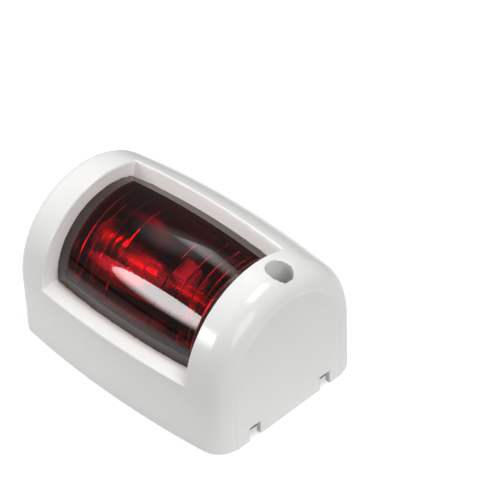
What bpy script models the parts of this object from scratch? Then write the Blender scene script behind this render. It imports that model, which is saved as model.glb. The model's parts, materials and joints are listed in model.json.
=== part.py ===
"""Port sidelight for a small boat: a bowed white cover with a red lens, on a base plate with a bayonet bulb.

The mounting face lies in the plane z = 0, with the origin at its centre. X runs along the light, from the hooked
far end (-X) to the end with the cover screw (+X). The window's sill faces -Y, and +Z points away from the bulkhead.
"""

import math

import bmesh
import bpy

MM = 0.001
GAP = 0.3 * MM

# Cover: a D section that is bowed along its length
LENGTH = 90.0 * MM
END_HALF_WIDTH = 29.5 * MM
BOW = 3.0 * MM
ARCH_Z = 21.7 * MM
WALL = 2.0 * MM
FAR_ROUND = 3.2 * MM
NEAR_ROUND = 7.0 * MM
ARCH_SEGMENTS = 20

# Window and lens: a sector around the lamp's axis
LAMP_Z = 23.5 * MM
WINDOW_FAR_X = -32.4 * MM
WINDOW_NEAR_X = 31.8 * MM
SILL_Z = 23.7 * MM
BACK_EDGE_ANGLE = math.radians(24.0)
LENS_END_RADIUS = 22.0 * MM
LENS_BOW = 4.1 * MM
LENS_WALL = 1.6 * MM
LENS_MARGIN = 2.0 * MM
LENS_NEAR_MARGIN = 0.9 * MM
FRAME_WALL = 2.2 * MM
FRAME_FAR_WALL = 3.0 * MM
FRAME_LIP = 2.0 * MM
SEAL_GAP = 0.15 * MM
SEAL_THICKNESS = 0.3 * MM
ZONE_STEP = 0.8 * MM
FIRST_ZONE_SQUARED = 92.0 * MM * MM
ZONE_SQUARED = 166.0 * MM * MM
ZONES = 7

# Cover screw and its tube
SCREW_X = 38.4 * MM
SCREW_Y = 3.4 * MM
COUNTERBORE_RADIUS = 4.1 * MM
TUBE_RADIUS = 5.2 * MM
TUBE_END_Z = 9.3 * MM
SCREW_SEAT_Z = 12.3 * MM
SCREW_RADIUS = 2.0 * MM
SCREW_TIP_Z = 4.2 * MM
SCREW_HEAD_RADIUS = 3.5 * MM
SCREW_HEAD_HEIGHT = 2.6 * MM
RECESS_LENGTH = 3.6 * MM
RECESS_WIDTH = 0.9 * MM
RECESS_DEPTH = 1.5 * MM
WASHER_THICKNESS = 0.8 * MM

# Hooks of the base in pockets of the cover, and the axis the cover tilts about
HINGE_X = -43.8 * MM
HINGE_Z = 1.2 * MM
HOOK_Y = 14.0 * MM
HOOK_WIDTH = 9.0 * MM
HOOK_TIP_X = -44.0 * MM
HOOK_LOW_Z = 2.0 * MM
POCKET_END_X = -44.3 * MM
POCKET_WIDTH = 10.4 * MM
POCKET_LOW_Z = 1.4 * MM
POCKET_HIGH_Z = 4.4 * MM

# Drain notches in the near end
NOTCH_Y = 15.3 * MM
NOTCH_WIDTH = 4.4 * MM
NOTCH_HEIGHT = 5.3 * MM

# Base plate
GASKET_THICKNESS = 1.0 * MM
BASE_TOP_Z = 3.2 * MM
BASE_SIDE_CLEARANCE = 0.5 * MM
BASE_FAR_X = -42.1 * MM
BASE_NEAR_X = 42.3 * MM
BASE_CORNER = 4.0 * MM
GASKET_INSET = 2.5 * MM
BOSS_RADIUS = 3.9 * MM
BOSS_TOP_Z = 9.0 * MM
INSERT_RADIUS = 2.9 * MM
INSERT_BORE_RADIUS = 2.4 * MM
INSERT_LOW_Z = 2.5 * MM
MOUNT_HOLE_X = 26.0 * MM
MOUNT_HOLE_Y = 24.0 * MM
MOUNT_HOLE_RADIUS = 2.1 * MM
MOUNT_SINK_RADIUS = 3.6 * MM

# Matt black screen: a tray whose walls bound the sector
SCREEN_FAR_X = -37.0 * MM
SCREEN_NEAR_X = 30.2 * MM
SCREEN_FRONT_Y = -20.2 * MM
SCREEN_BACK_Y = 16.7 * MM
SCREEN_WALL = 1.2 * MM
SCREEN_FLOOR_Z = BASE_TOP_Z + GAP
SCREEN_LIP_Z = 21.0 * MM
SCREEN_RADIUS = 20.3 * MM
SCREEN_BACK_TRIM_X = -35.4 * MM
SCREEN_BACK_TRIM_Y = 15.2 * MM

# Bracket: a bridge of sheet metal over the base, with an upright that carries the lampholder
SHEET = 0.8 * MM
BRACKET_FAR_X = -31.2 * MM
BRACKET_NEAR_X = 14.0 * MM
BRACKET_TOP_Z = 13.8 * MM
BRACKET_FRONT_Y = -6.0 * MM
BRACKET_BACK_Y = 12.0 * MM
BRACKET_CORNER = 3.0 * MM
UPRIGHT_RADIUS = 6.8 * MM
UPRIGHT_HOLE_RADIUS = 2.9 * MM
FOOT_Z = SCREEN_FLOOR_Z + SCREEN_WALL + GAP
FOOT_FRONT_Y = -1.0 * MM
FOOT_BACK_Y = 9.0 * MM
RIVET_Y = 4.0 * MM
RIVET_FAR_X = -25.0 * MM
RIVET_NEAR_X = 18.0 * MM
RIVET_MARGIN = 3.2 * MM
RIVET_RADIUS = 1.2 * MM
RIVET_HEAD_RADIUS = 2.2 * MM
RIVET_HEAD_HEIGHT = 0.9 * MM
RIVET_LOW_Z = 1.4 * MM

# Lampholder along the lamp axis
SHELL_FAR_X = -29.1 * MM
SHELL_MOUTH_X = -13.6 * MM
SHELL_RADIUS = 5.1 * MM
SHELL_WALL = 0.4 * MM
SHELL_BACK = 0.8 * MM
SHELL_FLANGE_RADIUS = 6.3 * MM
INSULATOR_RADIUS = 4.4 * MM
INSULATOR_NECK_RADIUS = 2.4 * MM
INSULATOR_BORE_RADIUS = 0.9 * MM
INSULATOR_FAR_X = -33.2 * MM
INSULATOR_NEAR_X = -27.5 * MM
TERMINAL_WIDTH = 4.0 * MM
TERMINAL_HEIGHT = 6.4 * MM
TERMINAL_THICKNESS = 0.5 * MM

# Centre contact and its spring
PLUNGER_FAR_X = -31.0 * MM
PLUNGER_HEAD_FAR_X = -25.2 * MM
PLUNGER_HEAD_NEAR_X = -24.2 * MM
PLUNGER_HEAD_RADIUS = 1.7 * MM
PLUNGER_STEM_RADIUS = 0.65 * MM
SPRING_COIL_RADIUS = 1.3 * MM
SPRING_WIRE_RADIUS = 0.2 * MM
SPRING_TURNS = 3
SPRING_POINTS_PER_TURN = 14

# Bulb with a bayonet cap
PIN_X = -18.2 * MM
PIN_RADIUS = 0.95 * MM
PIN_REACH = 5.7 * MM
CAP_FAR_X = -22.8 * MM
CAP_NEAR_X = -9.8 * MM
CAP_RADIUS = 4.5 * MM
CAP_WALL = 0.4 * MM
CAP_GLASS_RADIUS = 3.8 * MM
CAP_GLASS_DEPTH = 1.8 * MM
TIP_RADIUS = 1.4 * MM
TIP_HEIGHT = 0.8 * MM
TIP_NEAR_X = -23.1 * MM
SLOT_CLEARANCE = 0.3 * MM
TWIST = math.radians(30.0)
ENVELOPE_FAR_X = -14.0 * MM
ENVELOPE_NEAR_X = 8.5 * MM
ENVELOPE_RADIUS = 4.4 * MM
ENVELOPE_NECK_RADIUS = 3.6 * MM
ENVELOPE_WALL = 0.5 * MM
FILAMENT_X = -0.5 * MM
FILAMENT_RADIUS = 0.45 * MM
FILAMENT_WIRE_RADIUS = 0.13 * MM
FILAMENT_TURNS = 6
FILAMENT_HALF_SPAN = 1.5 * MM
SUPPORT_Y = 2.1 * MM
SUPPORT_FAR_X = -13.0 * MM
SUPPORT_WIRE_RADIUS = 0.25 * MM

# Leads and the grommet they leave through
LEAD_RADIUS = 0.9 * MM
LEAD_SPACING = 1.15 * MM
GROMMET_X = 6.0 * MM
GROMMET_Y = -12.5 * MM
GROMMET_RADIUS = 3.9 * MM
GROMMET_BORE_RADIUS = 2.4 * MM
GROMMET_FLANGE_RADIUS = 5.3 * MM
GROMMET_FLANGE_HEIGHT = 0.9 * MM
GROMMET_LOW_Z = 0.3 * MM
CABLE_HOLE_RADIUS = GROMMET_RADIUS + GAP

ROUND_STEPS = 32
SMALL_STEPS = 20
LENS_STEPS = 56
MERGE = 0.00001
CLEAR = 20.0 * MM
AXIS_ALONG_X = (0.0, math.radians(90.0), 0.0)


# ---------------------------------------------------------------------------------------------- scene helpers


def clear_scene():
    for obj in list(bpy.data.objects):
        bpy.data.objects.remove(obj, do_unlink=True)


def new_collection(name):
    collection = bpy.data.collections.new(name)
    bpy.context.scene.collection.children.link(collection)
    return collection


clear_scene()
LIGHT = new_collection("navigation_light")
CUTTERS = new_collection("cutters")


def material(name, colour, roughness, metallic=0.0, transmission=0.0):
    """A Principled material with one colour."""
    result = bpy.data.materials.new(name)
    result.use_nodes = True
    shader = result.node_tree.nodes["Principled BSDF"]
    shader.inputs["Base Color"].default_value = (*colour, 1.0)
    shader.inputs["Roughness"].default_value = roughness
    shader.inputs["Metallic"].default_value = metallic
    shader.inputs["Transmission Weight"].default_value = transmission
    result.diffuse_color = (*colour, 1.0)
    return result


def mesh_object(name, mesh, location=(0.0, 0.0, 0.0), rotation=(0.0, 0.0, 0.0)):
    """A new object with this mesh, in the light's collection."""
    obj = bpy.data.objects.new(name, mesh)
    LIGHT.objects.link(obj)
    obj.location = location
    obj.rotation_euler = rotation
    return obj


def object_from_bmesh(name, bm, location=(0.0, 0.0, 0.0), rotation=(0.0, 0.0, 0.0)):
    mesh = bpy.data.meshes.new(name)
    bm.to_mesh(mesh)
    bm.free()
    return mesh_object(name, mesh, location, rotation)


def box(name, low, high):
    """A box between two corners."""
    bm = bmesh.new()
    bmesh.ops.create_cube(bm, size=1.0)
    size = [b - a for a, b in zip(low, high)]
    centre = [(a + b) / 2.0 for a, b in zip(low, high)]
    bmesh.ops.scale(bm, vec=size, verts=bm.verts)
    return object_from_bmesh(name, bm, centre)


def cylinder(name, radius, length, centre, rotation=(0.0, 0.0, 0.0), steps=ROUND_STEPS):
    """A cylinder of this length around its centre, along its local Z."""
    bm = bmesh.new()
    bmesh.ops.create_cone(bm, cap_ends=True, segments=steps, radius1=radius, radius2=radius, depth=length)
    return object_from_bmesh(name, bm, centre, rotation)


def turned(name, profile, location=(0.0, 0.0, 0.0), rotation=(0.0, 0.0, 0.0), ring=False, steps=ROUND_STEPS):
    """A profile of (radius, height) points, which runs down its outer side, turned about local Z."""
    bm = bmesh.new()
    points = [bm.verts.new((radius, 0.0, height)) for radius, height in profile]
    for first, second in zip(points, points[1:]):
        bm.edges.new((first, second))
    if ring:
        bm.edges.new((points[-1], points[0]))
    obj = object_from_bmesh(name, bm, location, rotation)
    screw = obj.modifiers.new("turn", "SCREW")
    screw.axis = "Z"
    screw.steps = steps
    screw.render_steps = steps
    screw.use_merge_vertices = True
    screw.merge_threshold = MERGE
    screw.use_smooth_shade = True
    return obj


def meshed(obj):
    """A curve object as a closed mesh object in its place."""
    bpy.context.view_layer.update()
    evaluated = obj.evaluated_get(bpy.context.evaluated_depsgraph_get())
    mesh = bpy.data.meshes.new_from_object(evaluated)
    bm = bmesh.new()
    bm.from_mesh(mesh)
    bmesh.ops.remove_doubles(bm, verts=bm.verts, dist=MERGE)
    bm.to_mesh(mesh)
    bm.free()
    name = obj.name
    matrix = obj.matrix_world.copy()
    bpy.data.objects.remove(obj, do_unlink=True)
    result = mesh_object(name, mesh)
    result.matrix_world = matrix
    return result


def extruded(name, outline, low, high, axis="Z"):
    """A flat outline extruded from low to high: (x, y) points along Z, (y, z) along X or (x, z) along Y."""
    curve = bpy.data.curves.new(name, "CURVE")
    curve.dimensions = "2D"
    curve.fill_mode = "BOTH"
    curve.extrude = (high - low) / 2.0
    spline = curve.splines.new("POLY")
    spline.points.add(len(outline) - 1)
    for point, (across, up) in zip(spline.points, outline):
        point.co = (across, up, 0.0, 1.0)
    spline.use_cyclic_u = True
    middle = (low + high) / 2.0
    quarter = math.radians(90.0)
    places = {
        "X": ((middle, 0.0, 0.0), (quarter, 0.0, quarter)),
        "Y": ((0.0, middle, 0.0), (quarter, 0.0, 0.0)),
        "Z": ((0.0, 0.0, middle), (0.0, 0.0, 0.0)),
    }
    return meshed(mesh_object(name, curve, *places[axis]))


def wire(name, points, radius, resolution=1):
    """A round wire through these points."""
    curve = bpy.data.curves.new(name, "CURVE")
    curve.dimensions = "3D"
    curve.bevel_depth = radius
    curve.bevel_resolution = resolution
    curve.use_fill_caps = True
    spline = curve.splines.new("POLY")
    spline.points.add(len(points) - 1)
    for point, place in zip(spline.points, points):
        point.co = (*place, 1.0)
    return mesh_object(name, curve)


def loft(name, rings):
    """A closed solid through equally long rings of points."""
    bm = bmesh.new()
    rows = [[bm.verts.new(point) for point in ring] for ring in rings]
    count = len(rows[0])
    for row, following in zip(rows, rows[1:]):
        for i in range(count):
            j = (i + 1) % count
            bm.faces.new((row[i], row[j], following[j], following[i]))
    bm.faces.new(rows[0])
    bm.faces.new(rows[-1])
    bmesh.ops.recalc_face_normals(bm, faces=bm.faces)
    return object_from_bmesh(name, bm)


def as_cutter(obj):
    """Moves a shape to the cutters, which aren't part of the light."""
    LIGHT.objects.unlink(obj)
    CUTTERS.objects.link(obj)
    obj.hide_render = True
    obj.display_type = "WIRE"
    return obj


def combine(target, other, operation="DIFFERENCE"):
    """Cuts the target with another shape, or joins or intersects them."""
    as_cutter(other)
    boolean = target.modifiers.new(other.name, "BOOLEAN")
    boolean.operation = operation
    boolean.solver = "EXACT"
    boolean.object = other


def finish(obj, colour, smooth=True):
    """Gives an object its material and shading."""
    obj.data.materials.append(colour)
    if smooth and obj.type == "MESH":
        obj.data.shade_smooth()
        obj.data.set_sharp_from_angle(angle=math.radians(35.0))
    return obj


def pivot(name, location, children):
    """An empty on a joint's axis, with the joint's pieces as its children."""
    empty = bpy.data.objects.new(name, None)
    LIGHT.objects.link(empty)
    empty.location = location
    for child in children:
        child.parent = empty
        child.location = child.location - empty.location
    return empty


# ------------------------------------------------------------------------------------------ shared geometry


def bow(x):
    """1 in the middle of the length and 0 at its ends."""
    return 1.0 - (2.0 * x / LENGTH) ** 2


def half_width(x):
    """Outer half width of the cover, which is also the radius of its arch."""
    return END_HALF_WIDTH + BOW * bow(x)


def lens_radius(x):
    """Radius of the lens's outer face around the lamp axis."""
    return LENS_END_RADIUS + LENS_BOW * bow(x)


def stations(far_x, near_x, far_round, near_round, steps=10):
    """Places along X with how far the section is drawn in there, for rounded ends."""
    result = []
    for i in range(4):
        angle = math.radians(30.0) * i
        result.append((far_x + far_round * (1.0 - math.cos(angle)), far_round * (1.0 - math.sin(angle))))
    start = far_x + far_round
    span = near_x - near_round - start
    for i in range(1, steps):
        result.append((start + span * i / steps, 0.0))
    for i in range(6):
        angle = math.radians(18.0) * i
        result.append((near_x - near_round * (1.0 - math.sin(angle)), near_round * (1.0 - math.cos(angle))))
    return result


def cover_loft(name, inset, low_z):
    """The cover's bowed D shape, drawn in by an inset."""
    rings = []
    ends = (-LENGTH / 2.0 + inset, LENGTH / 2.0 - inset, FAR_ROUND - inset, NEAR_ROUND - inset)
    for x, drawn_in in stations(*ends):
        radius = half_width(x) - inset - drawn_in
        ring = [(x, radius, low_z), (x, -radius, low_z)]
        for i in range(ARCH_SEGMENTS + 1):
            angle = math.pi * i / ARCH_SEGMENTS
            ring.append((x, -radius * math.cos(angle), ARCH_Z + radius * math.sin(angle)))
        rings.append(ring)
    return loft(name, rings)


def plan_outline(inset, far_x, near_x, corner):
    """The cover's plan, drawn in by an inset, as (x, y) points."""
    front = []
    for x, drawn_in in stations(far_x, near_x, corner, corner):
        front.append((x, drawn_in + inset - half_width(x)))
    back = [(x, -y) for x, y in reversed(front)]
    return front + back


def sector_outline(margin):
    """The window's sector around the lamp axis, grown by a margin, as (y, z) points."""
    out_y = math.sin(BACK_EDGE_ANGLE)
    out_z = math.cos(BACK_EDGE_ANGLE)
    reach = 2.0 * LENGTH / 3.0
    sill = SILL_Z - margin
    shift_y = margin * out_z
    shift_z = -margin * out_y
    start = (sill - LAMP_Z - shift_z) / out_z
    return [
        (-reach, sill),
        (shift_y + start * out_y, sill),
        (shift_y + reach * out_y, LAMP_Z + shift_z + reach * out_z),
        (-reach, LAMP_Z + reach),
    ]


def sector_prism(name, margin, far_x, near_x):
    return extruded(name, sector_outline(margin), far_x, near_x, axis="X")


def barrel(name, grow, far_x, near_x):
    """A solid barrel around the lamp axis, larger than the lens by grow."""
    count = 12
    profile = [(0.0, near_x)]
    for i in range(count + 1):
        x = near_x + (far_x - near_x) * i / count
        profile.append((lens_radius(x) + grow, x))
    profile.append((0.0, far_x))
    return turned(name, profile, (0.0, 0.0, LAMP_Z), AXIS_ALONG_X, steps=LENS_STEPS)


def wedge_outline(first, last, inner, outer):
    """Part of a ring around the lamp axis between two angles from +Y, as (y, z) points."""
    count = 6
    angles = [first + (last - first) * i / count for i in range(count + 1)]
    outside = [(outer * math.cos(a), LAMP_Z + outer * math.sin(a)) for a in angles]
    inside = [(inner * math.cos(a), LAMP_Z + inner * math.sin(a)) for a in reversed(angles)]
    return outside + inside


# ------------------------------------------------------------------------------------------------ materials

WHITE_PLASTIC = material("white_plastic", (0.86, 0.86, 0.85), 0.22)
RED_LENS = material("red_lens", (0.45, 0.01, 0.015), 0.05, transmission=0.9)
SEALANT = material("sealant", (0.55, 0.55, 0.54), 0.6)
STAINLESS = material("stainless", (0.66, 0.66, 0.67), 0.25, metallic=1.0)
RUBBER = material("rubber", (0.03, 0.03, 0.032), 0.75)
BRASS = material("brass", (0.72, 0.55, 0.25), 0.3, metallic=1.0)
BASE_PLASTIC = material("base_plastic", (0.05, 0.05, 0.052), 0.5)
FOAM = material("foam", (0.06, 0.06, 0.06), 0.9)
MATT_BLACK = material("matt_black", (0.015, 0.015, 0.016), 0.8)
PLATED_SHEET = material("plated_sheet", (0.78, 0.77, 0.74), 0.22, metallic=1.0)
NICKEL = material("nickel", (0.8, 0.78, 0.74), 0.16, metallic=1.0)
PHENOLIC = material("phenolic", (0.25, 0.12, 0.05), 0.55)
SPRING_STEEL = material("spring_steel", (0.6, 0.6, 0.62), 0.3, metallic=1.0)
CAP_BRASS = material("cap_brass", (0.78, 0.74, 0.66), 0.22, metallic=1.0)
BLACK_GLASS = material("black_glass", (0.02, 0.02, 0.03), 0.1)
SOLDER = material("solder", (0.7, 0.7, 0.71), 0.35, metallic=1.0)
CLEAR_GLASS = material("clear_glass", (0.98, 0.98, 0.98), 0.02, transmission=1.0)
TUNGSTEN = material("tungsten", (0.35, 0.35, 0.36), 0.4, metallic=1.0)
SUPPORT_WIRE = material("support_wire", (0.6, 0.58, 0.52), 0.3, metallic=1.0)
RED_PVC = material("red_pvc", (0.55, 0.03, 0.03), 0.4)
BLACK_PVC = material("black_pvc", (0.02, 0.02, 0.02), 0.4)


# ---------------------------------------------------------------------------------------------- cover group


def make_cavity():
    """The cover's inside, less the window's frame and the screw tube."""
    cavity = cover_loft("cavity", WALL, -CLEAR)
    frame = sector_prism("frame_block", FRAME_WALL, WINDOW_FAR_X - FRAME_FAR_WALL, WINDOW_NEAR_X + FRAME_WALL)
    combine(frame, barrel("frame_core", -FRAME_LIP, -LENGTH / 2.0, LENGTH / 2.0))
    combine(cavity, frame)
    tube_top = ARCH_Z + END_HALF_WIDTH + CLEAR
    tube_centre = (SCREW_X, SCREW_Y, (TUBE_END_Z + tube_top) / 2.0)
    combine(cavity, cylinder("tube_block", TUBE_RADIUS, tube_top - TUBE_END_Z, tube_centre))
    return cavity


def bead_outline():
    """What is left outside the rounded far bottom edge, as (x, z) points."""
    radius = HINGE_Z
    points = [(HINGE_X, -CLEAR), (HINGE_X - CLEAR, -CLEAR), (HINGE_X - CLEAR, HINGE_Z)]
    for i in range(7):
        angle = math.radians(180.0 + 15.0 * i)
        points.append((HINGE_X + radius * math.cos(angle), HINGE_Z + radius * math.sin(angle)))
    return points


def make_cover():
    cover = cover_loft("cover", 0.0, 0.0)
    combine(cover, make_cavity())
    lens_far_x = WINDOW_FAR_X - LENS_MARGIN - SEAL_GAP
    lens_near_x = WINDOW_NEAR_X + LENS_NEAR_MARGIN + SEAL_GAP
    combine(cover, barrel("lens_seat", 2.0 * SEAL_GAP + SEAL_THICKNESS, lens_far_x, lens_near_x))
    combine(cover, sector_prism("window", 0.0, WINDOW_FAR_X, WINDOW_NEAR_X))
    top = ARCH_Z + END_HALF_WIDTH + CLEAR
    bore_centre = (SCREW_X, SCREW_Y, (SCREW_SEAT_Z + top) / 2.0)
    combine(cover, cylinder("counterbore", COUNTERBORE_RADIUS, top - SCREW_SEAT_Z, bore_centre))
    hole_radius = SCREW_RADIUS + GAP
    combine(cover, cylinder("screw_hole", hole_radius, top, (SCREW_X, SCREW_Y, top / 2.0), steps=SMALL_STEPS))
    inner_near_x = LENGTH / 2.0 - WALL
    for side, name in ((-1.0, "front"), (1.0, "back")):
        low = (inner_near_x - 1.0 * MM, side * NOTCH_Y - NOTCH_WIDTH / 2.0, -CLEAR)
        high = (inner_near_x + CLEAR, side * NOTCH_Y + NOTCH_WIDTH / 2.0, NOTCH_HEIGHT)
        combine(cover, box("notch_" + name, low, high))
        low = (POCKET_END_X, side * HOOK_Y - POCKET_WIDTH / 2.0, POCKET_LOW_Z)
        high = (WALL - LENGTH / 2.0 + 1.0 * MM, side * HOOK_Y + POCKET_WIDTH / 2.0, POCKET_HIGH_Z)
        combine(cover, box("pocket_" + name, low, high))
    combine(cover, extruded("bead_cutter", bead_outline(), -LENGTH, LENGTH, axis="Y"))
    return finish(cover, WHITE_PLASTIC)


def zone_edges():
    """Distances from the lens's middle where its stepped inner face steps."""
    return [math.sqrt(FIRST_ZONE_SQUARED + ZONE_SQUARED * zone) for zone in range(ZONES)]


def zone_profile(limit):
    """The stepped inner face from the middle out to a limit, as (x, added thickness) points."""
    points = []
    inner = 0.0
    for outer in zone_edges():
        end = min(outer, limit)
        for part in (0.0, 0.5, 1.0):
            x = inner + (end - inner) * part
            points.append((x, ZONE_STEP * (outer * outer - x * x) / ZONE_SQUARED))
        inner = outer
        if outer >= limit:
            break
    return points


def make_lens():
    far_x = WINDOW_FAR_X - LENS_MARGIN
    near_x = WINDOW_NEAR_X + LENS_NEAR_MARGIN
    count = 12
    outside = []
    for i in range(count + 1):
        x = near_x + (far_x - near_x) * i / count
        outside.append((lens_radius(x), x))
    far_half = [(-x, extra) for x, extra in reversed(zone_profile(WINDOW_NEAR_X))]
    near_half = zone_profile(WINDOW_NEAR_X)[1:]
    inside = [(lens_radius(far_x) - LENS_WALL, far_x)]
    inside += [(lens_radius(x) - LENS_WALL - extra, x) for x, extra in far_half + near_half]
    inside.append((lens_radius(near_x) - LENS_WALL, near_x))
    lens = turned("lens", outside + inside, (0.0, 0.0, LAMP_Z), AXIS_ALONG_X, ring=True, steps=LENS_STEPS)
    prism = sector_prism("lens_sector", LENS_MARGIN, far_x - CLEAR, near_x + CLEAR)
    combine(lens, prism, "INTERSECT")
    return finish(lens, RED_LENS)


def make_lens_seal():
    far_x = WINDOW_FAR_X - LENS_MARGIN
    near_x = WINDOW_NEAR_X + LENS_NEAR_MARGIN
    seal = barrel("lens_seal", SEAL_GAP + SEAL_THICKNESS, far_x, near_x)
    combine(seal, barrel("seal_core", SEAL_GAP, far_x - CLEAR / 2.0, near_x + CLEAR / 2.0))
    combine(seal, sector_prism("seal_sector", LENS_MARGIN, far_x - CLEAR, near_x + CLEAR), "INTERSECT")
    window_far_x = WINDOW_FAR_X - SEAL_GAP
    window_near_x = WINDOW_NEAR_X + SEAL_GAP
    combine(seal, sector_prism("seal_window", SEAL_GAP, window_far_x, window_near_x))
    return finish(seal, SEALANT)


def make_cover_screw():
    """Pan head with a cross recess; its origin is on its axis, at the seat."""
    head_z = WASHER_THICKNESS + 2.0 * GAP
    top_z = head_z + SCREW_HEAD_HEIGHT
    edge = 0.8 * MM
    tip_z = SCREW_TIP_Z - SCREW_SEAT_Z
    profile = [
        (0.0, top_z),
        (SCREW_HEAD_RADIUS - edge, top_z),
        (SCREW_HEAD_RADIUS, top_z - edge),
        (SCREW_HEAD_RADIUS, head_z),
        (SCREW_RADIUS, head_z),
        (SCREW_RADIUS, tip_z + edge),
        (SCREW_RADIUS - edge, tip_z),
        (0.0, tip_z),
    ]
    place = (SCREW_X, SCREW_Y, SCREW_SEAT_Z)
    screw = turned("cover_screw", profile, place, steps=SMALL_STEPS)
    recess_z = SCREW_SEAT_Z + top_z - RECESS_DEPTH
    for length, width, name in ((RECESS_LENGTH, RECESS_WIDTH, "a"), (RECESS_WIDTH, RECESS_LENGTH, "b")):
        low = (SCREW_X - length / 2.0, SCREW_Y - width / 2.0, recess_z)
        high = (SCREW_X + length / 2.0, SCREW_Y + width / 2.0, SCREW_SEAT_Z + top_z + 1.0 * MM)
        combine(screw, box("recess_" + name, low, high))
    return finish(screw, STAINLESS)


def make_screw_washer():
    inner = SCREW_RADIUS + GAP
    outer = COUNTERBORE_RADIUS - GAP
    high = GAP + WASHER_THICKNESS
    profile = [(outer, high), (outer, GAP), (inner, GAP), (inner, high)]
    washer = turned("screw_washer", profile, (SCREW_X, SCREW_Y, SCREW_SEAT_Z), ring=True, steps=SMALL_STEPS)
    return finish(washer, RUBBER)


# ----------------------------------------------------------------------------------------------- base group


def drill_base_stack(target, name, hole_radius):
    """Cuts the cable hole and the two rivet holes that pass through everything on the base."""
    through = 2.0 * CLEAR
    combine(target, cylinder(name + "_cable_hole", hole_radius, through, (GROMMET_X, GROMMET_Y, 0.0)))
    for x, end in ((RIVET_FAR_X, "far"), (RIVET_NEAR_X, "near")):
        hole = cylinder(name + "_rivet_hole_" + end, RIVET_RADIUS + GAP, through, (x, RIVET_Y, 0.0), steps=SMALL_STEPS)
        combine(target, hole)


def mount_holes():
    return (("far", -MOUNT_HOLE_X, -MOUNT_HOLE_Y), ("near", MOUNT_HOLE_X, MOUNT_HOLE_Y))


def make_base_plate():
    outline = plan_outline(WALL + BASE_SIDE_CLEARANCE, BASE_FAR_X, BASE_NEAR_X, BASE_CORNER)
    low_z = GASKET_THICKNESS + GAP
    base = extruded("base_plate", outline, low_z, BASE_TOP_Z)
    root_z = (low_z + BASE_TOP_Z) / 2.0
    boss_centre = (SCREW_X, SCREW_Y, (root_z + BOSS_TOP_Z) / 2.0)
    combine(base, cylinder("boss", BOSS_RADIUS, BOSS_TOP_Z - root_z, boss_centre), "UNION")
    for side, name in ((-1.0, "front"), (1.0, "back")):
        low = (HOOK_TIP_X, side * HOOK_Y - HOOK_WIDTH / 2.0, HOOK_LOW_Z)
        high = (BASE_FAR_X + 3.0 * MM, side * HOOK_Y + HOOK_WIDTH / 2.0, BASE_TOP_Z - 0.05 * MM)
        combine(base, box("hook_" + name, low, high), "UNION")
    hole_low_z = INSERT_LOW_Z - GAP
    hole_centre = (SCREW_X, SCREW_Y, hole_low_z + BOSS_TOP_Z / 2.0)
    combine(base, cylinder("boss_hole", INSERT_RADIUS + GAP, BOSS_TOP_Z, hole_centre))
    drill_base_stack(base, "base", CABLE_HOLE_RADIUS)
    for end, x, y in mount_holes():
        combine(base, cylinder("mount_hole_" + end, MOUNT_HOLE_RADIUS, CLEAR, (x, y, 0.0), steps=SMALL_STEPS))
        sink = [
            (0.0, BASE_TOP_Z + 1.0 * MM),
            (MOUNT_SINK_RADIUS + 1.0 * MM, BASE_TOP_Z + 1.0 * MM),
            (MOUNT_HOLE_RADIUS - 0.5 * MM, BASE_TOP_Z - 2.0 * MM),
            (0.0, BASE_TOP_Z - 2.0 * MM),
        ]
        combine(base, turned("mount_sink_" + end, sink, (x, y, 0.0), steps=SMALL_STEPS))
    return finish(base, BASE_PLASTIC)


def make_base_gasket():
    inset = WALL + BASE_SIDE_CLEARANCE + GASKET_INSET
    far_x = BASE_FAR_X + GASKET_INSET
    near_x = BASE_NEAR_X - GASKET_INSET
    gasket = extruded("base_gasket", plan_outline(inset, far_x, near_x, BASE_CORNER), 0.0, GASKET_THICKNESS)
    hole_radius = GROMMET_RADIUS + 2.0 * GAP
    combine(gasket, cylinder("gasket_cable_hole", hole_radius, CLEAR, (GROMMET_X, GROMMET_Y, 0.0)))
    for end, x, y in mount_holes():
        hole_name = "gasket_mount_hole_" + end
        combine(gasket, cylinder(hole_name, MOUNT_HOLE_RADIUS, CLEAR, (x, y, 0.0), steps=SMALL_STEPS))
    return finish(gasket, FOAM, smooth=False)


def make_screw_insert():
    profile = [
        (INSERT_RADIUS, BOSS_TOP_Z - GAP),
        (INSERT_RADIUS, INSERT_LOW_Z),
        (INSERT_BORE_RADIUS, INSERT_LOW_Z),
        (INSERT_BORE_RADIUS, BOSS_TOP_Z - GAP),
    ]
    insert = turned("screw_insert", profile, (SCREW_X, SCREW_Y, 0.0), ring=True, steps=SMALL_STEPS)
    return finish(insert, BRASS)


def screen_section(inner):
    """The screen's D outline, as (y, z) points."""
    floor = SCREEN_FLOOR_Z - CLEAR
    points = [(inner, floor), (-inner, floor)]
    for i in range(ARCH_SEGMENTS + 1):
        angle = math.pi * i / ARCH_SEGMENTS
        points.append((-inner * math.cos(angle), LAMP_Z + inner * math.sin(angle)))
    return points


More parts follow.
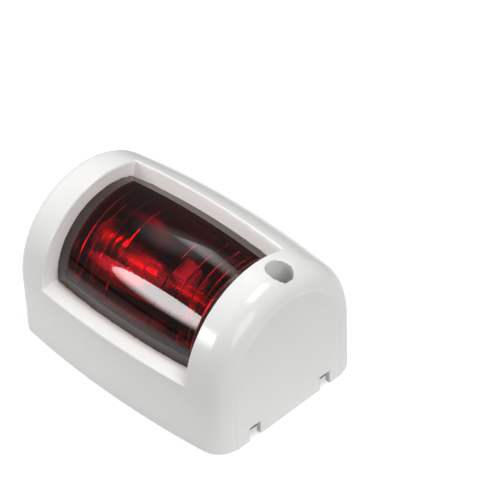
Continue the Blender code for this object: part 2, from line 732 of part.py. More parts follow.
def make_light_screen():
    high_z = LAMP_Z + SCREEN_RADIUS + 1.0 * MM
    low = (SCREEN_FAR_X, SCREEN_FRONT_Y, SCREEN_FLOOR_Z)
    screen = box("light_screen", low, (SCREEN_NEAR_X, SCREEN_BACK_Y, high_z))
    inner_low = (SCREEN_FAR_X + SCREEN_WALL, SCREEN_FRONT_Y + SCREEN_WALL, SCREEN_FLOOR_Z + SCREEN_WALL)
    inner_high = (SCREEN_NEAR_X - SCREEN_WALL, SCREEN_BACK_Y - SCREEN_WALL, high_z + CLEAR)
    combine(screen, box("screen_inside", inner_low, inner_high))
    trim_low = (SCREEN_BACK_TRIM_X, -CLEAR * 2.0, SCREEN_LIP_Z)
    trim_high = (SCREEN_NEAR_X + CLEAR, SCREEN_BACK_TRIM_Y, high_z + CLEAR)
    combine(screen, box("screen_opening", trim_low, trim_high))
    section = extruded("screen_section", screen_section(SCREEN_RADIUS), -LENGTH, LENGTH, axis="X")
    combine(screen, section, "INTERSECT")
    drill_base_stack(screen, "screen", CABLE_HOLE_RADIUS)
    return finish(screen, MATT_BLACK, smooth=False)


def rounded_plan(low, high, radius):
    """A rectangle with rounded corners, as points that run anticlockwise."""
    corners = (
        (high[0] - radius, low[1] + radius, -90.0),
        (high[0] - radius, high[1] - radius, 0.0),
        (low[0] + radius, high[1] - radius, 90.0),
        (low[0] + radius, low[1] + radius, 180.0),
    )
    points = []
    for x, y, start in corners:
        for i in range(5):
            angle = math.radians(start + 22.5 * i)
            points.append((x + radius * math.cos(angle), y + radius * math.sin(angle)))
    return points


def upright_outline():
    """The bracket's upright with its round head, as (y, z) points."""
    points = []
    for i in range(13):
        angle = math.pi * i / 12
        points.append((UPRIGHT_RADIUS * math.cos(angle), LAMP_Z + UPRIGHT_RADIUS * math.sin(angle)))
    low_z = FOOT_Z + SHEET / 2.0
    return points + [(-UPRIGHT_RADIUS, low_z), (UPRIGHT_RADIUS, low_z)]


def leg_outline():
    """The bracket's near leg and the foot at its end, as (x, z) points."""
    outer_x = BRACKET_NEAR_X - SHEET / 2.0
    inner_x = outer_x - SHEET
    top_z = BRACKET_TOP_Z - SHEET / 2.0
    end_x = RIVET_NEAR_X + RIVET_MARGIN
    foot_top_z = FOOT_Z + SHEET
    foot = [(inner_x, FOOT_Z), (end_x, FOOT_Z), (end_x, foot_top_z), (outer_x, foot_top_z)]
    return foot + [(outer_x, top_z), (inner_x, top_z)]


def make_holder_bracket():
    upright = extruded("holder_bracket", upright_outline(), BRACKET_FAR_X, BRACKET_FAR_X + SHEET, axis="X")
    bridge_far_x = BRACKET_FAR_X + SHEET / 2.0
    plan = rounded_plan((bridge_far_x, BRACKET_FRONT_Y), (BRACKET_NEAR_X, BRACKET_BACK_Y), BRACKET_CORNER)
    combine(upright, extruded("bridge", plan, BRACKET_TOP_Z - SHEET, BRACKET_TOP_Z), "UNION")
    combine(upright, extruded("leg", leg_outline(), FOOT_FRONT_Y, FOOT_BACK_Y, axis="Y"), "UNION")
    far_low = (BRACKET_FAR_X + SHEET / 4.0, FOOT_FRONT_Y, FOOT_Z)
    far_high = (RIVET_FAR_X + RIVET_MARGIN, RIVET_Y + RIVET_MARGIN, FOOT_Z + SHEET)
    combine(upright, box("far_foot", far_low, far_high), "UNION")
    hole = cylinder("upright_hole", UPRIGHT_HOLE_RADIUS, CLEAR / 4.0, (BRACKET_FAR_X, 0.0, LAMP_Z), AXIS_ALONG_X)
    combine(upright, hole)
    for x, end in ((RIVET_FAR_X, "far"), (RIVET_NEAR_X, "near")):
        centre = (x, RIVET_Y, FOOT_Z)
        length = 4.0 * MM
        foot_hole = cylinder("foot_hole_" + end, RIVET_RADIUS + GAP, length, centre, steps=SMALL_STEPS)
        combine(upright, foot_hole)
    return finish(upright, PLATED_SHEET)


def make_rivet(name, x):
    """A domed rivet through the bracket's foot, the screen and the base."""
    head_z = FOOT_Z + SHEET + GAP
    profile = [(0.0, head_z + RIVET_HEAD_HEIGHT)]
    for i in range(1, 5):
        angle = math.radians(90.0 - 22.5 * i)
        height = head_z + RIVET_HEAD_HEIGHT * math.sin(angle)
        profile.append((RIVET_HEAD_RADIUS * math.cos(angle), height))
    profile += [(RIVET_RADIUS, head_z), (RIVET_RADIUS, RIVET_LOW_Z), (0.0, RIVET_LOW_Z)]
    return finish(turned(name, profile, (x, RIVET_Y, 0.0), steps=SMALL_STEPS), STAINLESS)


def make_holder_shell():
    """The shell with its back flange and two bayonet slots."""
    inner = SHELL_RADIUS - SHELL_WALL
    back_hole = INSULATOR_NECK_RADIUS + GAP
    far_x = SHELL_FAR_X - SHELL_BACK
    profile = [
        (SHELL_RADIUS, SHELL_MOUTH_X),
        (SHELL_RADIUS, SHELL_FAR_X),
        (SHELL_FLANGE_RADIUS, SHELL_FAR_X),
        (SHELL_FLANGE_RADIUS, far_x),
        (back_hole, far_x),
        (back_hole, SHELL_FAR_X),
        (inner, SHELL_FAR_X),
        (inner, SHELL_MOUTH_X),
    ]
    shell = turned("holder_shell", profile, (0.0, 0.0, LAMP_Z), AXIS_ALONG_X, ring=True)
    pin_angle = math.asin((PIN_RADIUS + SLOT_CLEARANCE) / inner)
    slot_low_x = PIN_X - PIN_RADIUS - SLOT_CLEARANCE
    slot_high_x = PIN_X + PIN_RADIUS + SLOT_CLEARANCE
    for turn, name in ((0.0, "a"), (math.pi, "b")):
        across = wedge_outline(turn - pin_angle, turn + TWIST + pin_angle, inner / 2.0, SHELL_RADIUS + 2.0 * MM)
        combine(shell, extruded("slot_across_" + name, across, slot_low_x, slot_high_x, axis="X"))
        entry = turn + TWIST
        along = wedge_outline(entry - pin_angle, entry + pin_angle, inner / 2.0, SHELL_RADIUS + 2.0 * MM)
        mouth_x = SHELL_MOUTH_X + 1.0 * MM
        combine(shell, extruded("slot_along_" + name, along, PIN_X, mouth_x, axis="X"))
    return finish(shell, NICKEL)


def make_holder_insulator():
    """A disc with a neck through the shell's back and the upright."""
    step_x = SHELL_FAR_X + GAP
    profile = [
        (INSULATOR_RADIUS, INSULATOR_NEAR_X),
        (INSULATOR_RADIUS, step_x),
        (INSULATOR_NECK_RADIUS, step_x),
        (INSULATOR_NECK_RADIUS, INSULATOR_FAR_X),
        (INSULATOR_BORE_RADIUS, INSULATOR_FAR_X),
        (INSULATOR_BORE_RADIUS, INSULATOR_NEAR_X),
    ]
    place = (0.0, 0.0, LAMP_Z)
    insulator = turned("holder_insulator", profile, place, AXIS_ALONG_X, ring=True, steps=SMALL_STEPS)
    return finish(insulator, PHENOLIC)


def make_contact_plunger():
    """The sprung contact; its origin is on its axis, at the face that meets the bulb."""
    shift = PLUNGER_HEAD_NEAR_X
    profile = [
        (0.0, 0.0),
        (PLUNGER_HEAD_RADIUS, 0.0),
        (PLUNGER_HEAD_RADIUS, PLUNGER_HEAD_FAR_X - shift),
        (PLUNGER_STEM_RADIUS, PLUNGER_HEAD_FAR_X - shift),
        (PLUNGER_STEM_RADIUS, PLUNGER_FAR_X - shift),
        (0.0, PLUNGER_FAR_X - shift),
    ]
    plunger = turned("contact_plunger", profile, (shift, 0.0, LAMP_Z), AXIS_ALONG_X, steps=SMALL_STEPS)
    return finish(plunger, BRASS)


def make_contact_spring():
    margin = SPRING_WIRE_RADIUS + 0.1 * MM
    start = INSULATOR_NEAR_X + margin
    end = PLUNGER_HEAD_FAR_X - margin
    count = SPRING_TURNS * SPRING_POINTS_PER_TURN
    points = []
    for i in range(count + 1):
        angle = 2.0 * math.pi * i / SPRING_POINTS_PER_TURN
        y = SPRING_COIL_RADIUS * math.cos(angle)
        z = LAMP_Z + SPRING_COIL_RADIUS * math.sin(angle)
        points.append((start + (end - start) * i / count, y, z))
    return finish(wire("contact_spring", points, SPRING_WIRE_RADIUS), SPRING_STEEL)


def make_contact_terminal():
    far_x = INSULATOR_FAR_X - GAP - TERMINAL_THICKNESS
    low = (-TERMINAL_WIDTH / 2.0, LAMP_Z - TERMINAL_HEIGHT / 2.0)
    high = (TERMINAL_WIDTH / 2.0, LAMP_Z + TERMINAL_HEIGHT / 2.0)
    outline = rounded_plan(low, high, 1.0 * MM)
    terminal = extruded("contact_terminal", outline, far_x, far_x + TERMINAL_THICKNESS, axis="X")
    return finish(terminal, BRASS)


def make_cable_grommet():
    top_z = FOOT_Z + GROMMET_FLANGE_HEIGHT
    profile = [
        (GROMMET_FLANGE_RADIUS, top_z),
        (GROMMET_FLANGE_RADIUS, FOOT_Z),
        (GROMMET_RADIUS, FOOT_Z),
        (GROMMET_RADIUS, GROMMET_LOW_Z),
        (GROMMET_BORE_RADIUS, GROMMET_LOW_Z),
        (GROMMET_BORE_RADIUS, top_z),
    ]
    return finish(turned("cable_grommet", profile, (GROMMET_X, GROMMET_Y, 0.0), ring=True), RUBBER)


def lead_path(start, turn_z, side):
    """A lead from its terminal down to the floor, along its lane and out through the grommet."""
    lane_y = GROMMET_Y + side * LEAD_SPACING
    floor_z = FOOT_Z + GROMMET_FLANGE_HEIGHT + LEAD_RADIUS + 1.4 * MM
    bend = 1.6 * MM
    return [
        start,
        (start[0], start[1], turn_z),
        (start[0] + bend / 2.0, lane_y, floor_z + bend),
        (start[0] + 2.0 * bend, lane_y, floor_z),
        (GROMMET_X - bend, lane_y, floor_z),
        (GROMMET_X, lane_y, floor_z - bend),
        (GROMMET_X, lane_y, GROMMET_LOW_Z),
    ]


def make_lead_positive():
    start = (INSULATOR_FAR_X - LEAD_RADIUS, 0.0, LAMP_Z - TERMINAL_HEIGHT / 2.0 - GAP)
    points = lead_path(start, start[2] - 3.0 * MM, -1.0)
    return finish(wire("lead_positive", points, LEAD_RADIUS), RED_PVC)


def make_lead_negative():
    start = (BRACKET_FAR_X + 4.0 * MM, BRACKET_FRONT_Y + 1.5 * MM, BRACKET_TOP_Z - SHEET - GAP)
    points = lead_path(start, start[2] - 1.5 * MM, 1.0)
    return finish(wire("lead_negative", points, LEAD_RADIUS), BLACK_PVC)


# ----------------------------------------------------------------------------------------------- bulb group


def make_bulb_cap():
    """The cap's sleeve with its two locking pins."""
    inner = CAP_RADIUS - CAP_WALL
    profile = [(CAP_RADIUS, CAP_NEAR_X), (CAP_RADIUS, CAP_FAR_X), (inner, CAP_FAR_X), (inner, CAP_NEAR_X)]
    cap = turned("bulb_cap", profile, (0.0, 0.0, LAMP_Z), AXIS_ALONG_X, ring=True)
    pin_root = CAP_RADIUS - CAP_WALL / 2.0
    for side, name in ((-1.0, "front"), (1.0, "back")):
        centre = (PIN_X, side * (pin_root + PIN_REACH) / 2.0, LAMP_Z)
        sideways = (math.radians(90.0), 0.0, 0.0)
        pin = cylinder("pin_" + name, PIN_RADIUS, PIN_REACH - pin_root, centre, sideways, steps=12)
        combine(cap, pin, "UNION")
    return finish(cap, CAP_BRASS)


def make_bulb_insulator():
    near_x = CAP_FAR_X + CAP_GLASS_DEPTH
    profile = [(0.0, near_x), (CAP_GLASS_RADIUS, near_x), (CAP_GLASS_RADIUS, CAP_FAR_X), (0.0, CAP_FAR_X)]
    disc = turned("bulb_insulator", profile, (0.0, 0.0, LAMP_Z), AXIS_ALONG_X, steps=SMALL_STEPS)
    return finish(disc, BLACK_GLASS)


def make_bulb_contact():
    profile = [(0.0, TIP_NEAR_X)]
    for i in range(5):
        angle = math.radians(22.5) * i
        profile.append((TIP_RADIUS * math.cos(angle), TIP_NEAR_X - TIP_HEIGHT * math.sin(angle)))
    profile[-1] = (0.0, TIP_NEAR_X - TIP_HEIGHT)
    tip = turned("bulb_contact", profile, (0.0, 0.0, LAMP_Z), AXIS_ALONG_X, steps=SMALL_STEPS)
    return finish(tip, SOLDER)


def envelope_profile(radius, neck, near_x):
    """One face of the glass, from its crown down to its open neck."""
    dome_x = near_x - radius
    points = [(0.0, near_x)]
    for i in range(1, 7):
        angle = math.radians(15.0) * i
        points.append((radius * math.sin(angle), dome_x + radius * math.cos(angle)))
    points += [(radius, CAP_NEAR_X + 1.4 * MM), (neck, CAP_NEAR_X + 0.3 * MM), (neck, ENVELOPE_FAR_X)]
    return points


def make_bulb_glass():
    """A thin envelope, open at the neck inside the cap."""
    outside = envelope_profile(ENVELOPE_RADIUS, ENVELOPE_NECK_RADIUS, ENVELOPE_NEAR_X)
    thin = ENVELOPE_WALL
    inside = envelope_profile(ENVELOPE_RADIUS - thin, ENVELOPE_NECK_RADIUS - thin, ENVELOPE_NEAR_X - thin)
    profile = outside + list(reversed(inside))
    glass = turned("bulb_glass", profile, (0.0, 0.0, LAMP_Z), AXIS_ALONG_X, steps=24)
    return finish(glass, CLEAR_GLASS)


def make_bulb_filament():
    count = FILAMENT_TURNS * 8
    points = []
    for i in range(count + 1):
        angle = math.radians(45.0) * i
        x = FILAMENT_X + FILAMENT_RADIUS * math.cos(angle)
        z = LAMP_Z + FILAMENT_RADIUS * math.sin(angle)
        points.append((x, FILAMENT_HALF_SPAN * (2.0 * i / count - 1.0), z))
    return finish(wire("bulb_filament", points, FILAMENT_WIRE_RADIUS, resolution=0), TUNGSTEN)


def make_filament_wire(name, side):
    points = [
        (SUPPORT_FAR_X, side * SUPPORT_Y / 2.0, LAMP_Z),
        (SUPPORT_FAR_X / 2.0, side * SUPPORT_Y, LAMP_Z),
        (FILAMENT_X, side * SUPPORT_Y, LAMP_Z),
    ]
    return finish(wire(name, points, SUPPORT_WIRE_RADIUS), SUPPORT_WIRE)


# ------------------------------------------------------------------------------------------------- assembly

COVER_PIECES = [make_cover(), make_lens(), make_lens_seal(), make_cover_screw(), make_screw_washer()]
pivot("cover_hinge", (HINGE_X, 0.0, HINGE_Z), COVER_PIECES)

BULB_PIECES = [
    make_bulb_cap(),
    make_bulb_insulator(),
    make_bulb_contact(),
    make_bulb_glass(),
    make_bulb_filament(),
    make_filament_wire("filament_wire_a", -1.0),
    make_filament_wire("filament_wire_b", 1.0),
]
pivot("bulb_axis", (PIN_X, 0.0, LAMP_Z), BULB_PIECES)

make_base_plate()
make_base_gasket()
make_screw_insert()
make_light_screen()
make_holder_bracket()
make_rivet("rivet_far", RIVET_FAR_X)
make_rivet("rivet_near", RIVET_NEAR_X)
make_holder_shell()
make_holder_insulator()
make_contact_plunger()
make_contact_spring()
make_contact_terminal()
make_cable_grommet()
make_lead_positive()
make_lead_negative()
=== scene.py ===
"""Looks of a port sidelight: moulded cover, ribbed red lens, lamp and wiring, on a pale studio floor.

Lengths are in millimetres unless a comment says otherwise.
"""

import itertools
import json
import math

import bmesh
import bpy
import numpy as np
from mathutils import Matrix, Vector


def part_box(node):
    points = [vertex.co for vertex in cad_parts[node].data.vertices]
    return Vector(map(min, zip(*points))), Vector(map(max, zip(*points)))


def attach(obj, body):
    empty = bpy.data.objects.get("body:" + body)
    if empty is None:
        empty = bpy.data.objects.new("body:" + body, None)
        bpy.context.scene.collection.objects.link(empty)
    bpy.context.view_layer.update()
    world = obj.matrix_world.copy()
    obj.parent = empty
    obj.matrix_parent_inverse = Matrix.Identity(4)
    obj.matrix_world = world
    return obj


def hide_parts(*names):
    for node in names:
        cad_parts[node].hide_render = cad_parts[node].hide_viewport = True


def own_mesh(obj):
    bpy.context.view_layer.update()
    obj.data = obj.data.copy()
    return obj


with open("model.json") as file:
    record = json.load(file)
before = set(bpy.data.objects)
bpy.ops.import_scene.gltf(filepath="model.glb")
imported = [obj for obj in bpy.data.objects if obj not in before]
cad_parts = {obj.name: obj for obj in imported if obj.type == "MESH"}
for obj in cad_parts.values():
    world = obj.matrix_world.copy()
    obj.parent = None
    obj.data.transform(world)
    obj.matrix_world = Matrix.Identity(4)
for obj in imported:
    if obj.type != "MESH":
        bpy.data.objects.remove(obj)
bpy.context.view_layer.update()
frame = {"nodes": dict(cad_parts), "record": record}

MM = 0.001

# Edges of the CAD nodes that stay; angles in degrees
WELD_DISTANCE = 0.001
CAD_BEVEL = 0.12
BEVEL_ANGLE = 50.0
SMOOTH_ANGLE = 35.0

# Edges of the new pieces; a piece shades smooth across edges flatter than its angle, in degrees
MERGE_DISTANCE = 0.002
LENS_SMOOTH = 15.0
CUT_SMOOTH = 40.0
ROUND_SMOOTH = 50.0

# How points are drawn onto a field's surface
DRAW_PASSES = 4
LEAST_SLOPE = 0.2

# The cover's form, as the CAD solid has it
LOW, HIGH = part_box("cover")
LENGTH = (HIGH.x - LOW.x) / MM
HALF_WIDTH = (HIGH.y - LOW.y) / 2.0 / MM
BOW = 3.0
ARCH_Z = 21.7
WALL = 2.0
FAR_ROUND = 3.2
NEAR_ROUND = 7.0
FOOT_ROUND = 0.7
HINGE_ROUND = 1.2

# The raised panel of the near end, which is in the visual model only
PANEL_RADIUS = 23.2
PANEL_HEIGHT = 0.25
PANEL_EDGE = 0.3

# Window and lens, around the lamp axis
LAMP_Z = 23.5
WINDOW_FAR = -32.4
WINDOW_NEAR = 31.8
SILL_Z = 23.7
BACK_ANGLE = math.radians(24.0)
LENS_RADIUS = 22.0
LENS_BOW = 4.1
LENS_FIRST_ANGLE = math.asin((SILL_Z - LAMP_Z) / LENS_RADIUS)
LENS_LAST_ANGLE = math.radians(90.0) + BACK_ANGLE
LENS_WALL = 1.6
LENS_MARGIN = 1.9
LENS_NEAR_MARGIN = 0.9
WINDOW_CORNER = 0.5
WINDOW_EDGE = 0.55
FRAME_WALL = 2.2
FRAME_FAR_WALL = 3.0
FRAME_LIP = 2.0
FRAME_CORNER = 0.8
FRAME_EDGE = 0.4
SEAT_OVERLAP = 0.3

# The lens's border band, then its stepped inner face, which steps wherever x squared is FIRST_ZONE
# plus a whole number of ZONEs
BAND = 5.0
BAND_RISE = 0.8
BAND_STEP = 0.25
BAND_STEP_RUN = 0.2
NEAR_BAND_SHARE = 0.8
ZONE_STEP = 0.8
FIRST_ZONE = 92.0
ZONE = 166.0
ZONES = 7
ZONE_PARTS = 4
LENS_ROWS = 60
LENS_COLUMNS = 36
RIPPLE_SCALE = 300.0
RIPPLE_DEPTH = 0.004

# Cover screw, hooks and notches
SCREW_LOW, SCREW_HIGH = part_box("cover_screw")
SCREW_X = (SCREW_LOW.x + SCREW_HIGH.x) / 2.0 / MM
SCREW_Y = (SCREW_LOW.y + SCREW_HIGH.y) / 2.0 / MM
SCREW_LENGTH = (SCREW_HIGH.z - SCREW_LOW.z) / MM
SCREW_HEAD_RADIUS = (SCREW_HIGH.x - SCREW_LOW.x) / 2.0 / MM
SCREW_RADIUS = 2.0
SCREW_POINT = 0.8
SCREW_HEAD_HEIGHT = 2.6
THREAD_PITCH = 0.7
THREAD_DEPTH = 0.38
DOME = 26.0
RECESS_LENGTH = 3.6
RECESS_WIDTH = 1.1
RECESS_DEPTH = 1.5
RECESS_TAPER = 0.18
HEAD_EDGE = 0.6
FINE_EDGE = 0.1
BORE_RADIUS = 4.1
BORE_EDGE = 0.3
TUBE_RADIUS = 5.2
TUBE_EDGE = 0.4
TUBE_BLEND = 1.0
TUBE_END_Z = 9.3
SEAT_Z = 12.3
SCREW_HOLE_RADIUS = 2.3
INNER_EDGE = 0.5
NOTCH_Y = 15.3
NOTCH_HALF_WIDTH = 2.2
NOTCH_HEIGHT = 5.3
NOTCH_DEPTH = 3.0
NOTCH_EDGE = 0.25
HOOK_Y = 14.0
POCKET_HALF_WIDTH = 5.2
POCKET_LOW_Z = 1.4
POCKET_HIGH_Z = 4.4
POCKET_DEPTH = 1.3

# Lampholder shell, bulb glass, contact spring and filament
SLEEVE_MOUTH = -13.6
SLEEVE_FAR = -29.1
SLEEVE_RADIUS = 5.1
SLEEVE_WALL = 0.4
FLANGE_RADIUS = 6.3
FLANGE_THICKNESS = 0.8
BACK_HOLE_RADIUS = 2.7
BEADS = (-27.3, -24.9, -22.5)
BEAD_HEIGHT = 0.35
BEAD_WIDTH = 0.5
SLEEVE_EDGE = 0.15
FLANGE_EDGE = 0.2
FLANGE_BLEND = 0.3
SLOT_CORNER = 0.4
PIN_X = -18.2
SLOT_HALF_WIDTH = 1.25
TWIST = math.radians(30.0)
GLASS_FAR = -14.0
GLASS_NEAR = 8.5
GLASS_RADIUS = 4.4
GLASS_NECK_RADIUS = 3.6
GLASS_WALL = 0.5
GLASS_STEPS = 64
DOME_STEPS = 12
NECK_STEPS = 10
NECK_START = -8.4
NECK_RUN = 1.1
SPRING_WIRE = 0.16
SPRING_TURNS = 3
SPRING_STEPS = 120
SPRING_SIDES = 14
SPRING_END_SHARE = 0.04
FILAMENT_WIRE = 0.09
FILAMENT_TURNS = 9
FILAMENT_STEPS = 12 * FILAMENT_TURNS
FILAMENT_SIDES = 8
FILAMENT_SAG = 0.15

COVER_CELLS = (1.0, 0.55)
SCREW_CELLS = (0.3, 0.15)
SLEEVE_CELLS = (0.3, 0.16)


# -------------------------------------------------------------------------------------- shape functions


def bow(x):
    """1 in the middle of the length and 0 at its ends."""
    return 1.0 - (2.0 * x / LENGTH) ** 2


def half_width(x):
    return HALF_WIDTH - BOW + BOW * bow(x)


def lens_radius(x):
    return LENS_RADIUS + LENS_BOW * bow(x)


def rounded_max(a, b, radius):
    """The overlap of two fields, with the edge between them rounded."""
    outside = np.hypot(np.maximum(a + radius, 0.0), np.maximum(b + radius, 0.0))
    return outside + np.minimum(np.maximum(a, b), -radius)


def rounded_min(a, b, radius):
    return -rounded_max(-a, -b, radius)


def d_section(x, y, z, inset):
    """Below zero inside the bowed D shape, drawn in by an inset and rounded at its ends."""
    radius = half_width(x) - inset
    arch = np.where(z > ARCH_Z, np.hypot(y, z - ARCH_Z), np.abs(y)) - radius
    body = rounded_max(arch, x - (LENGTH / 2.0 - inset), NEAR_ROUND - inset)
    return rounded_max(body, -(LENGTH / 2.0 - inset) - x, FAR_ROUND - inset)


def sector(x, y, z, far, near, margin, corner):
    """Below zero inside the window's sector, grown by margins."""
    along = np.maximum(WINDOW_FAR - far - x, x - WINDOW_NEAR - near)
    back = y * math.cos(BACK_ANGLE) - (z - LAMP_Z) * math.sin(BACK_ANGLE) - margin
    around = rounded_max(SILL_Z - margin - z, back, corner)
    return rounded_max(along, around, corner)


def round_hole(x, y, radius):
    return np.hypot(x - SCREW_X, y - SCREW_Y) - radius


def end_step(x, y, z):
    """How far the rounded rim of the near end lies below its flat panel."""
    across = np.where(z > ARCH_Z, np.hypot(y, z - ARCH_Z), np.abs(y)) - PANEL_RADIUS
    outside = 0.5 + 0.5 * np.tanh(across / PANEL_EDGE)
    return PANEL_HEIGHT * outside * np.clip(1.0 + (x - LENGTH / 2.0) / NEAR_ROUND, 0.0, 1.0)


def cover_field(x, y, z):
    """Below zero inside the cover's plastic."""
    skin = d_section(x, y, z, 0.0) + end_step(x, y, z)
    skin = rounded_max(skin, -z, FOOT_ROUND)
    skin = np.maximum(skin, rounded_max(-LENGTH / 2.0 - x, -z, HINGE_ROUND))
    cavity = d_section(x, y, z, WALL)
    reach = np.hypot(y, z - LAMP_Z)
    rim = sector(x, y, z, FRAME_FAR_WALL, FRAME_WALL, FRAME_WALL, FRAME_CORNER)
    rim = rounded_max(rim, lens_radius(x) - FRAME_LIP - reach, FRAME_EDGE)
    tube = rounded_max(round_hole(x, y, TUBE_RADIUS), TUBE_END_Z - z, TUBE_EDGE)
    inner = rounded_max(cavity, -rounded_min(rim, tube, TUBE_BLEND), INNER_EDGE)
    solid = np.maximum(skin, -inner)
    solid = rounded_max(solid, -sector(x, y, z, 0.0, 0.0, 0.0, WINDOW_CORNER), WINDOW_EDGE)
    seat = np.maximum(reach - lens_radius(x) + SEAT_OVERLAP, WINDOW_FAR - LENS_MARGIN - x)
    seat = np.maximum(seat, x - WINDOW_NEAR - LENS_NEAR_MARGIN)
    solid = np.maximum(solid, -seat)
    bore = np.maximum(round_hole(x, y, BORE_RADIUS), SEAT_Z - z)
    solid = rounded_max(solid, -bore, BORE_EDGE)
    solid = np.maximum(solid, -round_hole(x, y, SCREW_HOLE_RADIUS))
    notch = np.maximum(np.abs(np.abs(y) - NOTCH_Y) - NOTCH_HALF_WIDTH, z - NOTCH_HEIGHT)
    notch = np.maximum(notch, LENGTH / 2.0 - NOTCH_DEPTH - x)
    solid = rounded_max(solid, -notch, NOTCH_EDGE)
    pocket = np.maximum(POCKET_LOW_Z - z, z - POCKET_HIGH_Z)
    pocket = np.maximum(pocket, np.abs(np.abs(y) - HOOK_Y) - POCKET_HALF_WIDTH)
    far_wall = WALL - LENGTH / 2.0
    pocket = np.maximum(pocket, np.abs(x - far_wall) - POCKET_DEPTH)
    return np.maximum(solid, -pocket)


# ------------------------------------------------------------------------------------------- mesh tools


def gradient(field, points, step=0.01):
    """The slope of a field at each point."""
    columns = []
    for axis in range(3):
        offset = np.zeros(3)
        offset[axis] = step
        ahead = field(*(points + offset).T)
        behind = field(*(points - offset).T)
        columns.append((ahead - behind) / (2.0 * step))
    return np.stack(columns, axis=1)


def edge_average(grid, cells):
    """For each crossed cell, the mean of the places where the surface crosses its edges."""
    total = np.zeros((len(cells), 3))
    count = np.zeros(len(cells))
    for axis in range(3):
        along = np.eye(3, dtype=int)[axis]
        for corner in itertools.product((0, 1), repeat=3):
            if corner[axis]:
                continue
            start = cells + np.array(corner)
            a = grid[tuple(start.T)]
            b = grid[tuple((start + along).T)]
            crossed = (a < 0.0) != (b < 0.0)
            share = np.where(crossed, a / np.where(crossed, a - b, 1.0), 0.0)
            place = np.array(corner) + share[:, None] * along
            total += place * crossed[:, None]
            count += crossed
    return total / count[:, None]


def net_faces(inside, index):
    """One quad around each grid edge that the surface crosses, facing out."""
    faces = []
    for axis in range(3):
        u = (axis + 1) % 3
        v = (axis + 2) % 3
        order = (axis, u, v)
        turned = np.transpose(inside, order)
        cells = np.transpose(index, order)
        a = turned[:-1, 1:-1, 1:-1]
        b = turned[1:, 1:-1, 1:-1]
        corners = [cells[:, :-1, :-1], cells[:, 1:, :-1], cells[:, 1:, 1:], cells[:, :-1, 1:]]
        quad = np.stack(corners, axis=-1)
        faces.append(quad[a & ~b])
        faces.append(quad[~a & b][:, ::-1])
    return np.concatenate(faces)


def surface_net(field, low, high, cells):
    """Points and quads of the surface where a field is zero, with the points drawn onto it."""
    cell = cells[1]
    axes = [np.arange(a, b + cell, cell) for a, b in zip(low, high)]
    grid = field(axes[0][:, None, None], axes[1][None, :, None], axes[2][None, None, :])
    inside = grid < 0.0
    shape = [n - 1 for n in grid.shape]
    filled = np.zeros(shape, dtype=np.int8)
    for i, j, k in itertools.product((0, 1), repeat=3):
        filled += inside[i:i + shape[0], j:j + shape[1], k:k + shape[2]]
    active = (filled > 0) & (filled < 8)
    crossed = np.argwhere(active)
    index = np.full(shape, -1)
    index[active] = np.arange(len(crossed))
    points = np.array([a[0] for a in axes]) + (crossed + edge_average(grid, crossed)) * cell
    for _ in range(DRAW_PASSES):
        slope = gradient(field, points)
        step = field(*points.T) / np.maximum((slope ** 2).sum(1), LEAST_SLOPE)
        points -= np.clip(step, -cell / 2.0, cell / 2.0)[:, None] * slope
    return points, net_faces(inside, index)


def mesh_from_arrays(name, points, faces):
    mesh = bpy.data.meshes.new(name)
    mesh.from_pydata((points * MM).tolist(), [], faces.tolist())
    mesh.update()
    return mesh


def add_object(name, mesh):
    obj = bpy.data.objects.new(name, mesh)
    bpy.context.scene.collection.objects.link(obj)
    return obj


def shade(obj, angle):
    obj.data.shade_smooth()
    obj.data.set_sharp_from_angle(angle=math.radians(angle))


# -------------------------------------------------------------------------------------------- materials


# Most of a noise field lies between these
NOISE_LOW = 0.3
NOISE_HIGH = 0.7


